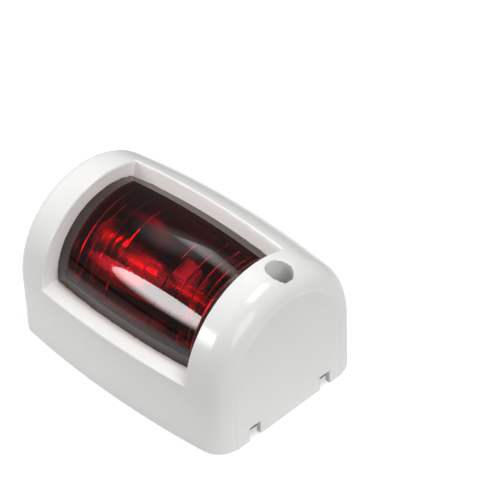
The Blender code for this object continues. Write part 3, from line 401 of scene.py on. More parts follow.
class Surface:
    """A Principled material whose inputs are driven by procedural textures."""

    def __init__(self, name, colour, roughness, metallic=0.0):
        self.material = bpy.data.materials.new(name)
        self.material.use_nodes = True
        self.nodes = self.material.node_tree.nodes
        self.links = self.material.node_tree.links
        self.shader = self.nodes["Principled BSDF"]
        self.place = self.nodes.new("ShaderNodeTexCoord")
        self.base = colour
        self.set("Base Color", (*colour, 1.0))
        self.set("Roughness", roughness)
        self.set("Metallic", metallic)

    def set(self, name, value):
        self.shader.inputs[name].default_value = value
        return self

    def node(self, kind, **inputs):
        result = self.nodes.new(kind)
        for name, value in inputs.items():
            result.inputs[name.replace("_", " ")].default_value = value
        return result

    def noise(self, scale, detail=4.0, stretch=(1.0, 1.0, 1.0)):
        """A noise field in the object's own space; scale is in features per metre."""
        mapping = self.node("ShaderNodeMapping", Scale=stretch)
        self.links.new(self.place.outputs["Object"], mapping.inputs["Vector"])
        texture = self.node("ShaderNodeTexNoise", Scale=scale, Detail=detail)
        self.links.new(mapping.outputs["Vector"], texture.inputs["Vector"])
        return texture.outputs["Fac"]

    def spread(self, source, low, high):
        """Maps the middle range of a noise field to low..high."""
        change = self.node("ShaderNodeMapRange")
        change.inputs["From Min"].default_value = NOISE_LOW
        change.inputs["From Max"].default_value = NOISE_HIGH
        change.inputs["To Min"].default_value = low
        change.inputs["To Max"].default_value = high
        self.links.new(source, change.inputs["Value"])
        return change.outputs["Result"]

    def attribute(self, name):
        """A value that the mesh holds at each of its points."""
        source = self.nodes.new("ShaderNodeAttribute")
        source.attribute_name = name
        return source.outputs["Fac"]

    def mix_colours(self, first, second, factor):
        """The first colour where the factor is 0, and the second where it is 1."""
        mix = self.nodes.new("ShaderNodeMix")
        mix.data_type = "RGBA"
        mix.inputs["A"].default_value = (*first, 1.0)
        mix.inputs["B"].default_value = (*second, 1.0)
        self.links.new(factor, mix.inputs["Factor"])
        return mix.outputs["Result"]

    def vary_colour(self, other, scale, stretch=(1.0, 1.0, 1.0)):
        """Blends the base colour with another over a noise field."""
        field = self.spread(self.noise(scale, stretch=stretch), 0.0, 1.0)
        self.links.new(self.mix_colours(self.base, other, field), self.shader.inputs["Base Color"])
        return self

    def vary_roughness(self, low, high, scale, stretch=(1.0, 1.0, 1.0)):
        field = self.spread(self.noise(scale, stretch=stretch), low, high)
        self.links.new(field, self.shader.inputs["Roughness"])
        return self

    def bump(self, scale, depth, stretch=(1.0, 1.0, 1.0)):
        """Fine relief; its depth is in metres."""
        bump = self.node("ShaderNodeBump", Strength=1.0, Distance=depth)
        self.links.new(self.noise(scale, stretch=stretch), bump.inputs["Height"])
        self.links.new(bump.outputs["Normal"], self.shader.inputs["Normal"])
        return self


# Depths of relief, in metres
PLASTIC_RELIEF = 0.000004
METAL_RELIEF = 0.000004
GLASS_RELIEF = 0.000003


def white_plastic():
    surface = Surface("white_plastic", (0.83, 0.83, 0.815), 0.13)
    surface.vary_colour((0.81, 0.81, 0.79), 60.0)
    surface.vary_roughness(0.1, 0.18, 180.0).bump(900.0, PLASTIC_RELIEF)
    surface.set("Specular IOR Level", 0.4).set("Subsurface Weight", 0.08)
    surface.set("Subsurface Radius", (0.002, 0.002, 0.002)).set("Subsurface Scale", 0.4)
    return surface.material


def lens_ripples(surface):
    """Fine waves on the lens's inner face, which its mesh marks."""
    wave = surface.node("ShaderNodeTexWave", Scale=RIPPLE_SCALE, Distortion=2.0, Detail=2.0)
    surface.links.new(surface.place.outputs["Object"], wave.inputs["Vector"])
    height = surface.nodes.new("ShaderNodeMath")
    height.operation = "MULTIPLY"
    surface.links.new(wave.outputs["Fac"], height.inputs[0])
    surface.links.new(surface.attribute("inner"), height.inputs[1])
    ripple = surface.node("ShaderNodeBump", Distance=RIPPLE_DEPTH * MM)
    surface.links.new(height.outputs["Value"], ripple.inputs["Height"])
    surface.links.new(ripple.outputs["Normal"], surface.shader.inputs["Normal"])


def lens_border(surface, border):
    """Makes the lens darker, rougher and less clear in its border, which its mesh marks."""
    texture = surface.nodes.new("ShaderNodeMix")
    surface.links.new(border, texture.inputs["Factor"])
    surface.links.new(surface.spread(surface.noise(150.0), 0.02, 0.05), texture.inputs["A"])
    surface.links.new(surface.spread(surface.noise(600.0), 0.12, 0.2), texture.inputs["B"])
    surface.links.new(texture.outputs["Result"], surface.shader.inputs["Roughness"])
    tone = surface.mix_colours(surface.base, (0.046, 0.02, 0.017), border)
    surface.links.new(tone, surface.shader.inputs["Base Color"])
    clearness = surface.nodes.new("ShaderNodeMapRange")
    clearness.inputs["To Min"].default_value = 1.0
    clearness.inputs["To Max"].default_value = 0.25
    surface.links.new(border, clearness.inputs["Value"])
    surface.links.new(clearness.outputs["Result"], surface.shader.inputs["Transmission Weight"])


def lens_light(surface, border):
    """Lets shadow rays pass the lens as tinted light, and shows a dull reddish grey to diffuse rays.

    The second keeps the white sill, which faces the lens, from turning red.
    """
    path = surface.nodes.new("ShaderNodeLightPath")
    clear = surface.nodes.new("ShaderNodeBsdfTransparent")
    tint = surface.mix_colours((0.68, 0.01, 0.018), (0.08, 0.01, 0.01), border)
    surface.links.new(tint, clear.inputs["Color"])
    shadow = surface.nodes.new("ShaderNodeMixShader")
    surface.links.new(path.outputs["Is Shadow Ray"], shadow.inputs["Fac"])
    surface.links.new(surface.shader.outputs["BSDF"], shadow.inputs[1])
    surface.links.new(clear.outputs["BSDF"], shadow.inputs[2])
    dull = surface.node("ShaderNodeBsdfDiffuse", Color=(0.32, 0.21, 0.2, 1.0))
    bounce = surface.nodes.new("ShaderNodeMixShader")
    surface.links.new(path.outputs["Is Diffuse Ray"], bounce.inputs["Fac"])
    surface.links.new(shadow.outputs["Shader"], bounce.inputs[1])
    surface.links.new(dull.outputs["BSDF"], bounce.inputs[2])
    output = surface.nodes["Material Output"]
    surface.links.new(bounce.outputs["Shader"], output.inputs["Surface"])


def red_lens():
    """Clear red plastic with a dark, finely textured border."""
    surface = Surface("red_lens", (0.88, 0.015, 0.03), 0.03)
    surface.set("IOR", 1.58)
    border = surface.attribute("border")
    lens_ripples(surface)
    lens_border(surface, border)
    lens_light(surface, border)
    return surface.material


def metal(name, colour, roughness, grain=400.0, stretch=(1.0, 1.0, 1.0)):
    surface = Surface(name, colour, roughness, metallic=1.0)
    worn = tuple(0.82 * channel for channel in colour)
    surface.vary_colour(worn, grain / 3.0, stretch)
    surface.vary_roughness(0.7 * roughness, 1.5 * roughness, grain, stretch)
    surface.bump(grain * 2.0, METAL_RELIEF, stretch)
    return surface.material


def plastic(name, colour, roughness, grain=700.0, relief=0.00001):
    surface = Surface(name, colour, roughness)
    surface.vary_colour(tuple(0.75 * channel for channel in colour), grain / 5.0)
    surface.vary_roughness(0.85 * roughness, min(1.0, 1.2 * roughness), grain / 2.0).bump(grain, relief)
    return surface.material


def glass(name, colour, roughness=0.01):
    surface = Surface(name, colour, roughness)
    surface.vary_roughness(roughness, 3.0 * roughness, 200.0).bump(300.0, GLASS_RELIEF)
    surface.set("Transmission Weight", 1.0).set("IOR", 1.47)
    return surface.material


MATERIALS = {
    "white_plastic": white_plastic(),
    "red_lens": red_lens(),
    "sealant": plastic("sealant", (0.5, 0.5, 0.49), 0.5),
    "stainless": metal("stainless", (0.62, 0.62, 0.64), 0.24),
    "rubber": plastic("rubber", (0.025, 0.025, 0.027), 0.7, 1200.0, 0.00002),
    "brass": metal("brass", (0.74, 0.55, 0.24), 0.26),
    "base_plastic": plastic("base_plastic", (0.035, 0.035, 0.037), 0.42, 900.0, 0.00002),
    "foam": plastic("foam", (0.04, 0.04, 0.042), 0.95, 1800.0, 0.00015),
    "matt_black": plastic("matt_black", (0.012, 0.012, 0.013), 0.75, 1500.0, 0.00002),
    "plated_sheet": metal("plated_sheet", (0.9, 0.89, 0.87), 0.5, 300.0, (0.2, 1.0, 1.0)),
    "nickel": metal("nickel", (0.88, 0.86, 0.83), 0.3, 500.0, (1.0, 0.3, 0.3)),
    "phenolic": plastic("phenolic", (0.22, 0.1, 0.045), 0.5, 900.0),
    "spring_steel": metal("spring_steel", (0.58, 0.58, 0.6), 0.25),
    "cap_brass": metal("cap_brass", (0.78, 0.74, 0.66), 0.2),
    "black_glass": plastic("black_glass", (0.015, 0.015, 0.02), 0.1),
    "solder": metal("solder", (0.68, 0.68, 0.7), 0.32),
    "clear_glass": glass("clear_glass", (0.97, 0.98, 0.97)),
    "tungsten": metal("tungsten", (0.32, 0.32, 0.33), 0.35),
    "support_wire": metal("support_wire", (0.6, 0.56, 0.48), 0.28),
    "red_pvc": plastic("red_pvc", (0.5, 0.02, 0.02), 0.35),
    "black_pvc": plastic("black_pvc", (0.016, 0.016, 0.017), 0.35),
}


def finish(obj, body, slot, node):
    """Gives a new piece its material and its body, and hides the CAD node that it stands for."""
    obj.data.materials.append(MATERIALS[slot])
    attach(obj, body)
    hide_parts(node)


# ----------------------------------------------------------------------------------------------- pieces


def make_cover():
    """The white moulding, shaded with the slope of its own field."""
    margin = 1.5
    low = (-LENGTH / 2.0 - margin, -HALF_WIDTH - margin, -margin)
    high = (LENGTH / 2.0 + margin, HALF_WIDTH + margin, HIGH.z / MM + margin)
    points, faces = surface_net(cover_field, low, high, COVER_CELLS)
    mesh = mesh_from_arrays("cover_shell", points, faces)
    mesh.shade_smooth()
    normals = gradient(cover_field, points)
    normals /= np.linalg.norm(normals, axis=1)[:, None]
    mesh.normals_split_custom_set_from_vertices(normals.tolist())
    finish(add_object("cover_shell", mesh), "cover", "white_plastic", "cover")


def zone_points(limit):
    """The stepped inner face from the middle out to a limit, as (x, added thickness) points."""
    points = []
    inner = 0.0
    for zone in range(ZONES):
        outer = math.sqrt(FIRST_ZONE + ZONE * zone)
        end = min(outer, limit)
        for part in range(ZONE_PARTS + 1):
            x = inner + (end - inner) * part / ZONE_PARTS
            points.append((x, ZONE_STEP * (outer * outer - x * x) / ZONE))
        inner = outer
        if outer >= limit:
            break
    return points


def lens_rows():
    """Angles up from the sill side, each with its distance in from the window's edge.

    The rows in the middle are all given as two bands in, which is past both steps of the border.
    """
    radius = LENS_RADIUS + LENS_BOW
    insets = [-LENS_MARGIN, 0.0, BAND - BAND_STEP_RUN, BAND]
    low = [(LENS_FIRST_ANGLE + inset / radius, inset) for inset in insets]
    high = [(LENS_LAST_ANGLE - inset / radius, inset) for inset in reversed(insets)]
    start = low[-1][0]
    end = high[0][0]
    middle = [(start + (end - start) * i / LENS_ROWS, 2.0 * BAND) for i in range(1, LENS_ROWS)]
    return low + middle + high


def band_rise(inset):
    """How far the outer face stands above the border's outer edge."""
    if inset <= BAND - BAND_STEP_RUN:
        return BAND_RISE * max(inset, 0.0) / (BAND - BAND_STEP_RUN)
    return BAND_RISE + BAND_STEP * min(1.0, (inset - BAND + BAND_STEP_RUN) / BAND_STEP_RUN)


def lens_ring(angle, inset):
    """One section along the lens: the outer face from far to near, then the stepped inner face back."""
    far = WINDOW_FAR - LENS_MARGIN
    near = WINDOW_NEAR + LENS_NEAR_MARGIN
    steps = [0.0] + [max(0.0, min(step, inset)) for step in (BAND - BAND_STEP_RUN, BAND)]
    start = WINDOW_FAR + steps[-1]
    end = WINDOW_NEAR - steps[-1] * NEAR_BAND_SHARE
    outer = [(far, 0.0)] + [(WINDOW_FAR + step, band_rise(step)) for step in steps[:-1]]
    for i in range(LENS_COLUMNS + 1):
        outer.append((start + (end - start) * i / LENS_COLUMNS, band_rise(steps[-1])))
    outer += [(WINDOW_NEAR - step * NEAR_BAND_SHARE, band_rise(step)) for step in reversed(steps[:-1])]
    outer.append((near, 0.0))
    ring = [(x, lens_radius(x) + rise) for x, rise in outer]
    half = zone_points(WINDOW_NEAR - BAND)
    inner = [(x, extra) for x, extra in reversed(half)] + [(-x, extra) for x, extra in half[1:]]
    ring.append((near, lens_radius(near) - LENS_WALL))
    ring += [(x, lens_radius(x) - LENS_WALL - extra) for x, extra in inner]
    ring.append((far, lens_radius(far) - LENS_WALL))
    return [(x, -r * math.cos(angle), LAMP_Z + r * math.sin(angle)) for x, r in ring]


def make_lens():
    """The lens, as rings swept around the lamp axis; its mesh marks its border and its inner face."""
    bm = bmesh.new()
    rings = [[bm.verts.new(Vector(p) * MM) for p in lens_ring(*row)] for row in lens_rows()]
    count = len(rings[0])
    for ring, following in zip(rings, rings[1:]):
        for i in range(count):
            j = (i + 1) % count
            bm.faces.new((ring[i], following[i], following[j], ring[j]))
    bm.faces.new(rings[0])
    bm.faces.new(reversed(rings[-1]))
    bmesh.ops.remove_doubles(bm, verts=bm.verts, dist=MERGE_DISTANCE * MM)
    bmesh.ops.recalc_face_normals(bm, faces=bm.faces)
    mesh = bpy.data.meshes.new("lens_barrel")
    bm.to_mesh(mesh)
    bm.free()
    border = mesh.attributes.new("border", "FLOAT", "POINT")
    inner = mesh.attributes.new("inner", "FLOAT", "POINT")
    for vertex in mesh.vertices:
        x, y, z = vertex.co / MM
        angle = math.atan2(z - LAMP_Z, -y)
        around = min(angle - LENS_FIRST_ANGLE, LENS_LAST_ANGLE - angle) * (LENS_RADIUS + LENS_BOW)
        inset = min(x - WINDOW_FAR, (WINDOW_NEAR - x) / NEAR_BAND_SHARE, around)
        border.data[vertex.index].value = 1.0 if inset < BAND - BAND_STEP_RUN / 2.0 else 0.0
        depth = lens_radius(x) - math.hypot(y, z - LAMP_Z)
        inner.data[vertex.index].value = 1.0 if depth > LENS_WALL / 2.0 else 0.0
    lens = add_object("lens_barrel", mesh)
    shade(lens, LENS_SMOOTH)
    finish(lens, "cover", "red_lens", "lens")


def screw_field(x, y, z):
    """Below zero inside the cover screw, with z up from its tip and its axis at x = y = 0."""
    reach = np.hypot(x, y)
    phase = np.mod(z / THREAD_PITCH - np.arctan2(y, x) / (2.0 * np.pi), 1.0)
    crest = SCREW_RADIUS - THREAD_DEPTH * 2.0 * np.abs(phase - 0.5)
    crest = crest - np.maximum(SCREW_POINT - z, 0.0)
    shank = np.maximum(reach - crest, np.maximum(-z, z - SCREW_LENGTH + SCREW_HEAD_HEIGHT / 2.0))
    top = SCREW_LENGTH - reach ** 2 / DOME
    head = rounded_max(reach - SCREW_HEAD_RADIUS, z - top, HEAD_EDGE)
    head = rounded_max(head, SCREW_LENGTH - SCREW_HEAD_HEIGHT - z, FINE_EDGE)
    along_x = np.maximum(np.abs(x) - RECESS_LENGTH / 2.0, np.abs(y) - RECESS_WIDTH / 2.0)
    along_y = np.maximum(np.abs(y) - RECESS_LENGTH / 2.0, np.abs(x) - RECESS_WIDTH / 2.0)
    cross = np.minimum(along_x, along_y) + (SCREW_LENGTH - z) * RECESS_TAPER
    recess = np.maximum(cross, SCREW_LENGTH - RECESS_DEPTH - z)
    return rounded_max(np.minimum(shank, head), -recess, FINE_EDGE)


def make_screw():
    """The cover screw, meshed around its own axis and then put in its place."""
    margin = 0.45
    reach = SCREW_HEAD_RADIUS + margin
    low = (-reach, -reach, -margin)
    high = (reach, reach, SCREW_LENGTH + margin)
    points, faces = surface_net(screw_field, low, high, SCREW_CELLS)
    points += np.array((SCREW_X, SCREW_Y, SCREW_LOW.z / MM))
    screw = add_object("screw_threaded", mesh_from_arrays("screw_threaded", points, faces))
    shade(screw, CUT_SMOOTH)
    finish(screw, "cover_screw", "stainless", "cover_screw")


def sleeve_field(x, y, z):
    """Below zero inside the lampholder's shell: a beaded sleeve with a back flange and bayonet slots."""
    reach = np.hypot(y, z - LAMP_Z)
    bead = BEAD_HEIGHT * sum(np.exp(-((x - place) / BEAD_WIDTH) ** 2) for place in BEADS)
    wall = np.abs(reach - bead - SLEEVE_RADIUS + SLEEVE_WALL / 2.0) - SLEEVE_WALL / 2.0
    plate_x = SLEEVE_FAR - FLANGE_THICKNESS / 2.0
    sleeve = rounded_max(wall, np.maximum(x - SLEEVE_MOUTH, plate_x - x), SLEEVE_EDGE)
    ring = np.maximum(reach - FLANGE_RADIUS, BACK_HOLE_RADIUS - reach)
    flange = rounded_max(np.abs(x - plate_x) - FLANGE_THICKNESS / 2.0, ring, FLANGE_EDGE)
    solid = rounded_min(sleeve, flange, FLANGE_BLEND)
    pin_angle = math.asin(SLOT_HALF_WIDTH / (SLEEVE_RADIUS - SLEEVE_WALL))
    angle = np.mod(np.arctan2(z - LAMP_Z, y) + np.pi / 2.0, np.pi) - np.pi / 2.0
    across = (np.abs(angle - TWIST / 2.0) - TWIST / 2.0 - pin_angle) * SLEEVE_RADIUS
    across = rounded_max(across, np.abs(x - PIN_X) - SLOT_HALF_WIDTH, SLOT_CORNER)
    along = np.maximum((np.abs(angle - TWIST) - pin_angle) * SLEEVE_RADIUS, PIN_X - x)
    return rounded_max(solid, -np.minimum(across, along), FINE_EDGE)


def make_sleeve():
    """The lampholder's plated shell."""
    margin = 0.5
    far = SLEEVE_FAR - FLANGE_THICKNESS - margin
    reach = FLANGE_RADIUS + margin
    low = (far, -reach, LAMP_Z - reach)
    high = (SLEEVE_MOUTH + margin, reach, LAMP_Z + reach)
    points, faces = surface_net(sleeve_field, low, high, SLEEVE_CELLS)
    sleeve = add_object("holder_sleeve", mesh_from_arrays("holder_sleeve", points, faces))
    shade(sleeve, CUT_SMOOTH)
    finish(sleeve, "base", "nickel", "holder_shell")


def glass_profile(inset):
    """One face of the bulb's glass from its crown to its open neck, as (x, radius) points."""
    radius = GLASS_RADIUS - inset
    dome = GLASS_NEAR - GLASS_RADIUS
    points = []
    for i in range(DOME_STEPS + 1):
        angle = math.radians(90.0) * i / DOME_STEPS
        points.append((dome + radius * math.cos(angle), radius * math.sin(angle)))
    neck = GLASS_NECK_RADIUS - inset
    for i in range(NECK_STEPS + 1):
        share = i / NECK_STEPS
        eased = share * share * (3.0 - 2.0 * share)
        points.append((NECK_START - NECK_RUN * share, radius + (neck - radius) * eased))
    points.append((GLASS_FAR, neck))
    return points


def make_glass():
    """The bulb's envelope, turned around the lamp axis."""
    profile = glass_profile(0.0) + list(reversed(glass_profile(GLASS_WALL)))
    bm = bmesh.new()
    rings = []
    for i in range(GLASS_STEPS):
        angle = 2.0 * math.pi * i / GLASS_STEPS
        ring = [(x, r * math.cos(angle), LAMP_Z + r * math.sin(angle)) for x, r in profile]
        rings.append([bm.verts.new(Vector(point) * MM) for point in ring])
    for i in range(GLASS_STEPS):
        ring = rings[i]
        following = rings[(i + 1) % GLASS_STEPS]
        for j in range(len(profile) - 1):
            bm.faces.new((ring[j], following[j], following[j + 1], ring[j + 1]))
    bmesh.ops.remove_doubles(bm, verts=bm.verts, dist=MERGE_DISTANCE * MM)
    bmesh.ops.recalc_face_normals(bm, faces=bm.faces)
    mesh = bpy.data.meshes.new("bulb_envelope")
    bm.to_mesh(mesh)
    bm.free()
    glass_piece = add_object("bulb_envelope", mesh)
    shade(glass_piece, ROUND_SMOOTH)
    finish(glass_piece, "bulb", "clear_glass", "bulb_glass")


# Not along the start of any path that tube gets
ANY_DIRECTION = (0.31, 0.23, 0.92)


def tube(path, radius, sides):
    """Points and faces of a round bar along a path, closed at both ends."""
    path = np.array(path)
    along = np.gradient(path, axis=0)
    along /= np.linalg.norm(along, axis=1)[:, None]
    side = np.cross(along[0], ANY_DIRECTION)
    points = []
    for place, forward in zip(path, along):
        side = side - forward * (side @ forward)
        side /= np.linalg.norm(side)
        up = np.cross(forward, side)
        for i in range(sides):
            angle = 2.0 * math.pi * i / sides
            points.append(place + radius * (math.cos(angle) * side + math.sin(angle) * up))
    faces = []
    for ring in range(len(path) - 1):
        for i in range(sides):
            j = (i + 1) % sides
            a = ring * sides
            faces.append((a + i, a + j, a + sides + j, a + sides + i))
    faces.append(tuple(reversed(range(sides))))
    faces.append(tuple(range(len(points) - sides, len(points))))
    return points, faces


def tube_object(name, path, radius, sides):
    points, faces = tube(path, radius, sides)
    mesh = bpy.data.meshes.new(name)
    mesh.from_pydata([Vector(p) * MM for p in points], [], faces)
    mesh.update()
    obj = add_object(name, mesh)
    shade(obj, ROUND_SMOOTH)
    return obj


def make_spring():
    """Coil spring behind the contact, from one end of the CAD spring's box to the other."""
    low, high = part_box("contact_spring")
    start = low.x / MM + SPRING_WIRE
    end = high.x / MM - SPRING_WIRE
    radius = (high.y - low.y) / 2.0 / MM - SPRING_WIRE
    path = []
    for i in range(SPRING_STEPS + 1):
        share = i / SPRING_STEPS
        angle = 2.0 * math.pi * SPRING_TURNS * share
        eased = share - SPRING_END_SHARE * math.sin(2.0 * math.pi * share)
        x = start + (end - start) * eased
        path.append((x, radius * math.cos(angle), LAMP_Z + radius * math.sin(angle)))
    spring = tube_object("spring_coil", path, SPRING_WIRE, SPRING_SIDES)
    finish(spring, "base", "spring_steel", "contact_spring")
    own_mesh(spring)


def make_filament():
    """Fine coil between the two support wires, sagging a little in the middle."""
    low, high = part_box("bulb_filament")
    middle = (low + high) / 2.0 / MM
    half = (high.y - low.y) / 2.0 / MM - FILAMENT_WIRE
    radius = (high.x - low.x) / 2.0 / MM - FILAMENT_WIRE
    path = []
    for i in range(FILAMENT_STEPS + 1):
        share = 2.0 * i / FILAMENT_STEPS - 1.0
        angle = 2.0 * math.pi * FILAMENT_TURNS * i / FILAMENT_STEPS
        sag = FILAMENT_SAG * (1.0 - share * share)
        x = middle.x + radius * math.cos(angle)
        z = middle.z + radius * math.sin(angle) - sag
        path.append((x, half * share, z))
    filament = tube_object("filament_coil", path, FILAMENT_WIRE, FILAMENT_SIDES)
    finish(filament, "bulb", "tungsten", "bulb_filament")


def smooth_group():
    """Node group of a modifier that shades smooth across every edge flatter than SMOOTH_ANGLE.

    It drops the flat normals that came with the CAD mesh from its own result, and the mesh keeps them.
    """
    group = bpy.data.node_groups.new("smooth_flat_edges", "GeometryNodeTree")
    group.interface.new_socket("Geometry", in_out="INPUT", socket_type="NodeSocketGeometry")
    group.interface.new_socket("Geometry", in_out="OUTPUT", socket_type="NodeSocketGeometry")
    source = group.nodes.new("NodeGroupInput")
    result = group.nodes.new("NodeGroupOutput")
    plain = group.nodes.new("GeometryNodeRemoveAttribute")
    plain.inputs["Name"].default_value = "custom_normal"
    faces = group.nodes.new("GeometryNodeSetShadeSmooth")
    edges = group.nodes.new("GeometryNodeSetShadeSmooth")
    edges.domain = "EDGE"
    angle = group.nodes.new("GeometryNodeInputMeshEdgeAngle")
    flat = group.nodes.new("FunctionNodeCompare")
    flat.operation = "LESS_THAN"
    flat.inputs["B"].default_value = math.radians(SMOOTH_ANGLE)
    group.links.new(source.outputs["Geometry"], plain.inputs["Geometry"])
    group.links.new(plain.outputs["Geometry"], faces.inputs["Geometry"])
    group.links.new(faces.outputs["Geometry"], edges.inputs["Geometry"])
    group.links.new(angle.outputs["Unsigned Angle"], flat.inputs["A"])
    group.links.new(flat.outputs["Result"], edges.inputs["Shade Smooth"])
    group.links.new(edges.outputs["Geometry"], result.inputs["Geometry"])
    return group


def paint_cad_nodes():
    """Gives every CAD node that is still shown the material of its slot in the record, and soft edges."""
    slots = {entry["node"]: entry["material_slot"] for entry in frame["record"]["subparts"]}
    smooth = smooth_group()
    for name, obj in frame["nodes"].items():
        if obj.hide_render:
            continue
        obj.material_slots[0].material = MATERIALS[slots[name]]
        weld = obj.modifiers.new("weld", "WELD")
        weld.merge_threshold = WELD_DISTANCE * MM
        obj.modifiers.new("smooth", "NODES").node_group = smooth
        bevel = obj.modifiers.new("bevel", "BEVEL")
        bevel.width = CAD_BEVEL * MM
        bevel.segments = 2
        bevel.limit_method = "ANGLE"
        bevel.angle_limit = math.radians(BEVEL_ANGLE)
        bevel.harden_normals = True


make_cover()
make_lens()
make_screw()
make_sleeve()
make_glass()
make_spring()
make_filament()
paint_cad_nodes()


# --------------------------------------------------------------------------------------- stage and light

# Millimetres: the gap under the object, and the camera's focal length and sensor
FLOOR_GAP = 0.05
CAMERA_LENS = 173.8
CAMERA_SENSOR = 36.0

# Metres: places and sizes on the stage, and the camera's and lights' distances
FLOOR_SIZE = 3.0
FLOOR_BRIGHT_RADIUS = 0.09
FLOOR_DIM_RADIUS = 0.2
LIGHT_DISTANCE = 0.7
LIGHT_TARGET_Z = 0.03
CAMERA_DISTANCE = 0.7646
CAMERA_OFFSET = (0.01936, 0.03014)

# Camera angles, then brightness of the floor and the surroundings
CAMERA_AZIMUTH = math.radians(46.33)
CAMERA_ELEVATION = math.radians(39.91)
CAMERA_ROLL = math.radians(2.47)
FLOOR_FILL = 0.24
FLOOR_SEEN_FILL = 0.55
WORLD_FILL = 0.15


def direction(azimuth, elevation):
    """Unit vector for two angles in radians; azimuth 0 is toward -Y and a quarter turn toward +X."""
    flat = math.cos(elevation)
    return Vector((math.sin(azimuth) * flat, -math.cos(azimuth) * flat, math.sin(elevation)))


def make_floor():
    """A pale floor, with a painted pool of light around the light unit: there it is lighter and glows for
    all rays, and away from it it fades to white for the camera and to dark for all else.
    """
    mesh = bpy.data.meshes.new("floor")
    bm = bmesh.new()
    bmesh.ops.create_grid(bm, x_segments=1, y_segments=1, size=FLOOR_SIZE)
    bm.to_mesh(mesh)
    bm.free()
    floor = add_object("floor", mesh)
    surface = Surface("floor_white", (0.9, 0.9, 0.9), 0.6)
    surface.set("Specular IOR Level", 0.1).set("Emission Color", (1.0, 1.0, 1.0, 1.0))
    reach = surface.nodes.new("ShaderNodeVectorMath")
    reach.operation = "LENGTH"
    surface.links.new(surface.place.outputs["Object"], reach.inputs[0])
    fade = surface.nodes.new("ShaderNodeMapRange")
    fade.interpolation_type = "SMOOTHSTEP"
    fade.inputs["From Min"].default_value = FLOOR_BRIGHT_RADIUS
    fade.inputs["From Max"].default_value = FLOOR_DIM_RADIUS
    surface.links.new(reach.outputs["Value"], fade.inputs["Value"])
    # Painted pool of light: the floor's colour is lighter near the light unit and darker away from it
    tone = surface.mix_colours((0.62, 0.62, 0.62), (0.1, 0.1, 0.1), fade.outputs["Result"])
    surface.links.new(tone, surface.shader.inputs["Base Color"])
    # Painted light: near the light unit the floor glows for all rays, standing in for light that falls on
    # it and bounces off it; for the camera it glows more, and fully far away
    path = surface.nodes.new("ShaderNodeLightPath")
    near = surface.nodes.new("ShaderNodeMapRange")
    near.inputs["To Min"].default_value = FLOOR_FILL
    near.inputs["To Max"].default_value = FLOOR_SEEN_FILL
    surface.links.new(path.outputs["Is Camera Ray"], near.inputs["Value"])
    fill = surface.nodes.new("ShaderNodeMix")
    surface.links.new(near.outputs["Result"], fill.inputs["A"])
    surface.links.new(path.outputs["Is Camera Ray"], fill.inputs["B"])
    surface.links.new(fade.outputs["Result"], fill.inputs["Factor"])
    surface.links.new(fill.outputs["Result"], surface.shader.inputs["Emission Strength"])
    floor.data.materials.append(surface.material)
    floor.location.z = -FLOOR_GAP * MM


def make_softbox(name, toward, size, power, shape="RECTANGLE"):
    """A flat light that faces the light unit from a direction; size in metres and power in watts."""
    light = bpy.data.lights.new(name, "AREA")
    light.shape = shape
    light.size, light.size_y = size
    light.energy = power
    obj = add_object(name, light)
    obj.location = Vector((0.0, 0.0, LIGHT_TARGET_Z)) + toward.normalized() * LIGHT_DISTANCE
    obj.rotation_euler = toward.to_track_quat("Z", "Y").to_euler()
    return obj


def grade(light, centre, inner, outer):
    """Makes a softbox fade away from a bright centre; all three are shares of its width and height."""
    light.data.use_nodes = True
    nodes = light.data.node_tree.nodes
    links = light.data.node_tree.links
    place = nodes.new("ShaderNodeNewGeometry")
    reach = nodes.new("ShaderNodeVectorMath")
    reach.operation = "DISTANCE"
    reach.inputs[1].default_value = (*centre, 0.0)
    links.new(place.outputs["Parametric"], reach.inputs[0])
    ramp = nodes.new("ShaderNodeMapRange")
    ramp.interpolation_type = "SMOOTHSTEP"
    ramp.inputs["From Min"].default_value = inner
    ramp.inputs["From Max"].default_value = outer
    ramp.inputs["To Min"].default_value = 1.0
    ramp.inputs["To Max"].default_value = 0.0
    links.new(reach.outputs["Value"], ramp.inputs["Value"])
    links.new(ramp.outputs["Result"], nodes["Emission"].inputs["Strength"])


def make_world():
    world = bpy.data.worlds.new("studio")
    world.use_nodes = True
    background = world.node_tree.nodes["Background"]
    background.inputs["Color"].default_value = (1.0, 1.0, 1.0, 1.0)
    background.inputs["Strength"].default_value = WORLD_FILL
    bpy.context.scene.world = world


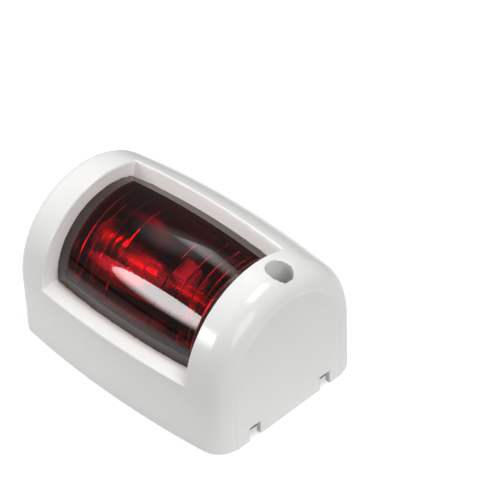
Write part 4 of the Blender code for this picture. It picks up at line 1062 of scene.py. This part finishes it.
def make_camera():
    camera = bpy.data.cameras.new("camera")
    camera.lens = CAMERA_LENS
    camera.sensor_width = CAMERA_SENSOR
    obj = add_object("camera", camera)
    back = direction(CAMERA_AZIMUTH, CAMERA_ELEVATION)
    right = Vector((math.cos(CAMERA_AZIMUTH), math.sin(CAMERA_AZIMUTH), 0.0))
    up = back.cross(right)
    cos_roll = math.cos(CAMERA_ROLL)
    sin_roll = math.sin(CAMERA_ROLL)
    across = right * cos_roll - up * sin_roll
    upward = right * sin_roll + up * cos_roll
    turn = Matrix((across, upward, back)).transposed()
    place = back * CAMERA_DISTANCE + across * CAMERA_OFFSET[0] + upward * CAMERA_OFFSET[1]
    obj.matrix_world = Matrix.Translation(place) @ turn.to_4x4()
    bpy.context.scene.camera = obj


make_floor()
make_world()

# Softboxes that light the whole object
make_softbox("softbox_top", Vector((0.3, 0.1, 0.95)), (0.32, 0.32), 3.15)
make_softbox("softbox_right", Vector((0.9, -0.25, 0.4)), (0.35, 0.35), 1.25)

# Fills that no surface mirrors
fill_front = make_softbox("fill_front", Vector((-0.62, -0.55, 0.56)), (0.3, 0.3), 1.25)
fill_front.visible_glossy = False
fill_far = make_softbox("fill_far", Vector((-0.9, -0.1, 0.4)), (0.3, 0.3), 1.9)
fill_far.visible_glossy = False

# Softboxes for the highlights on the lens: a faint broad one, one near its top edge and a long streak
softbox_high = make_softbox("softbox_high", Vector((-0.52, 0.15, 0.84)), (0.6, 0.24), 0.33)
grade(softbox_high, (0.5, 0.5), 0.1, 0.5)
softbox_back = make_softbox("softbox_back", Vector((-0.35, 0.2, 0.94)), (0.16, 0.3), 0.4)
grade(softbox_back, (0.5, 0.1), 0.0, 0.8)
toward_streak = direction(math.radians(-25.0), math.radians(20.3))
streak = make_softbox("softbox_streak", toward_streak, (0.41, 0.29), 3.2, "ELLIPSE")
streak.visible_diffuse = False
grade(streak, (0.35, 0.7), 0.25, 0.65)

make_camera()
bpy.context.scene.view_settings.view_transform = "Standard"
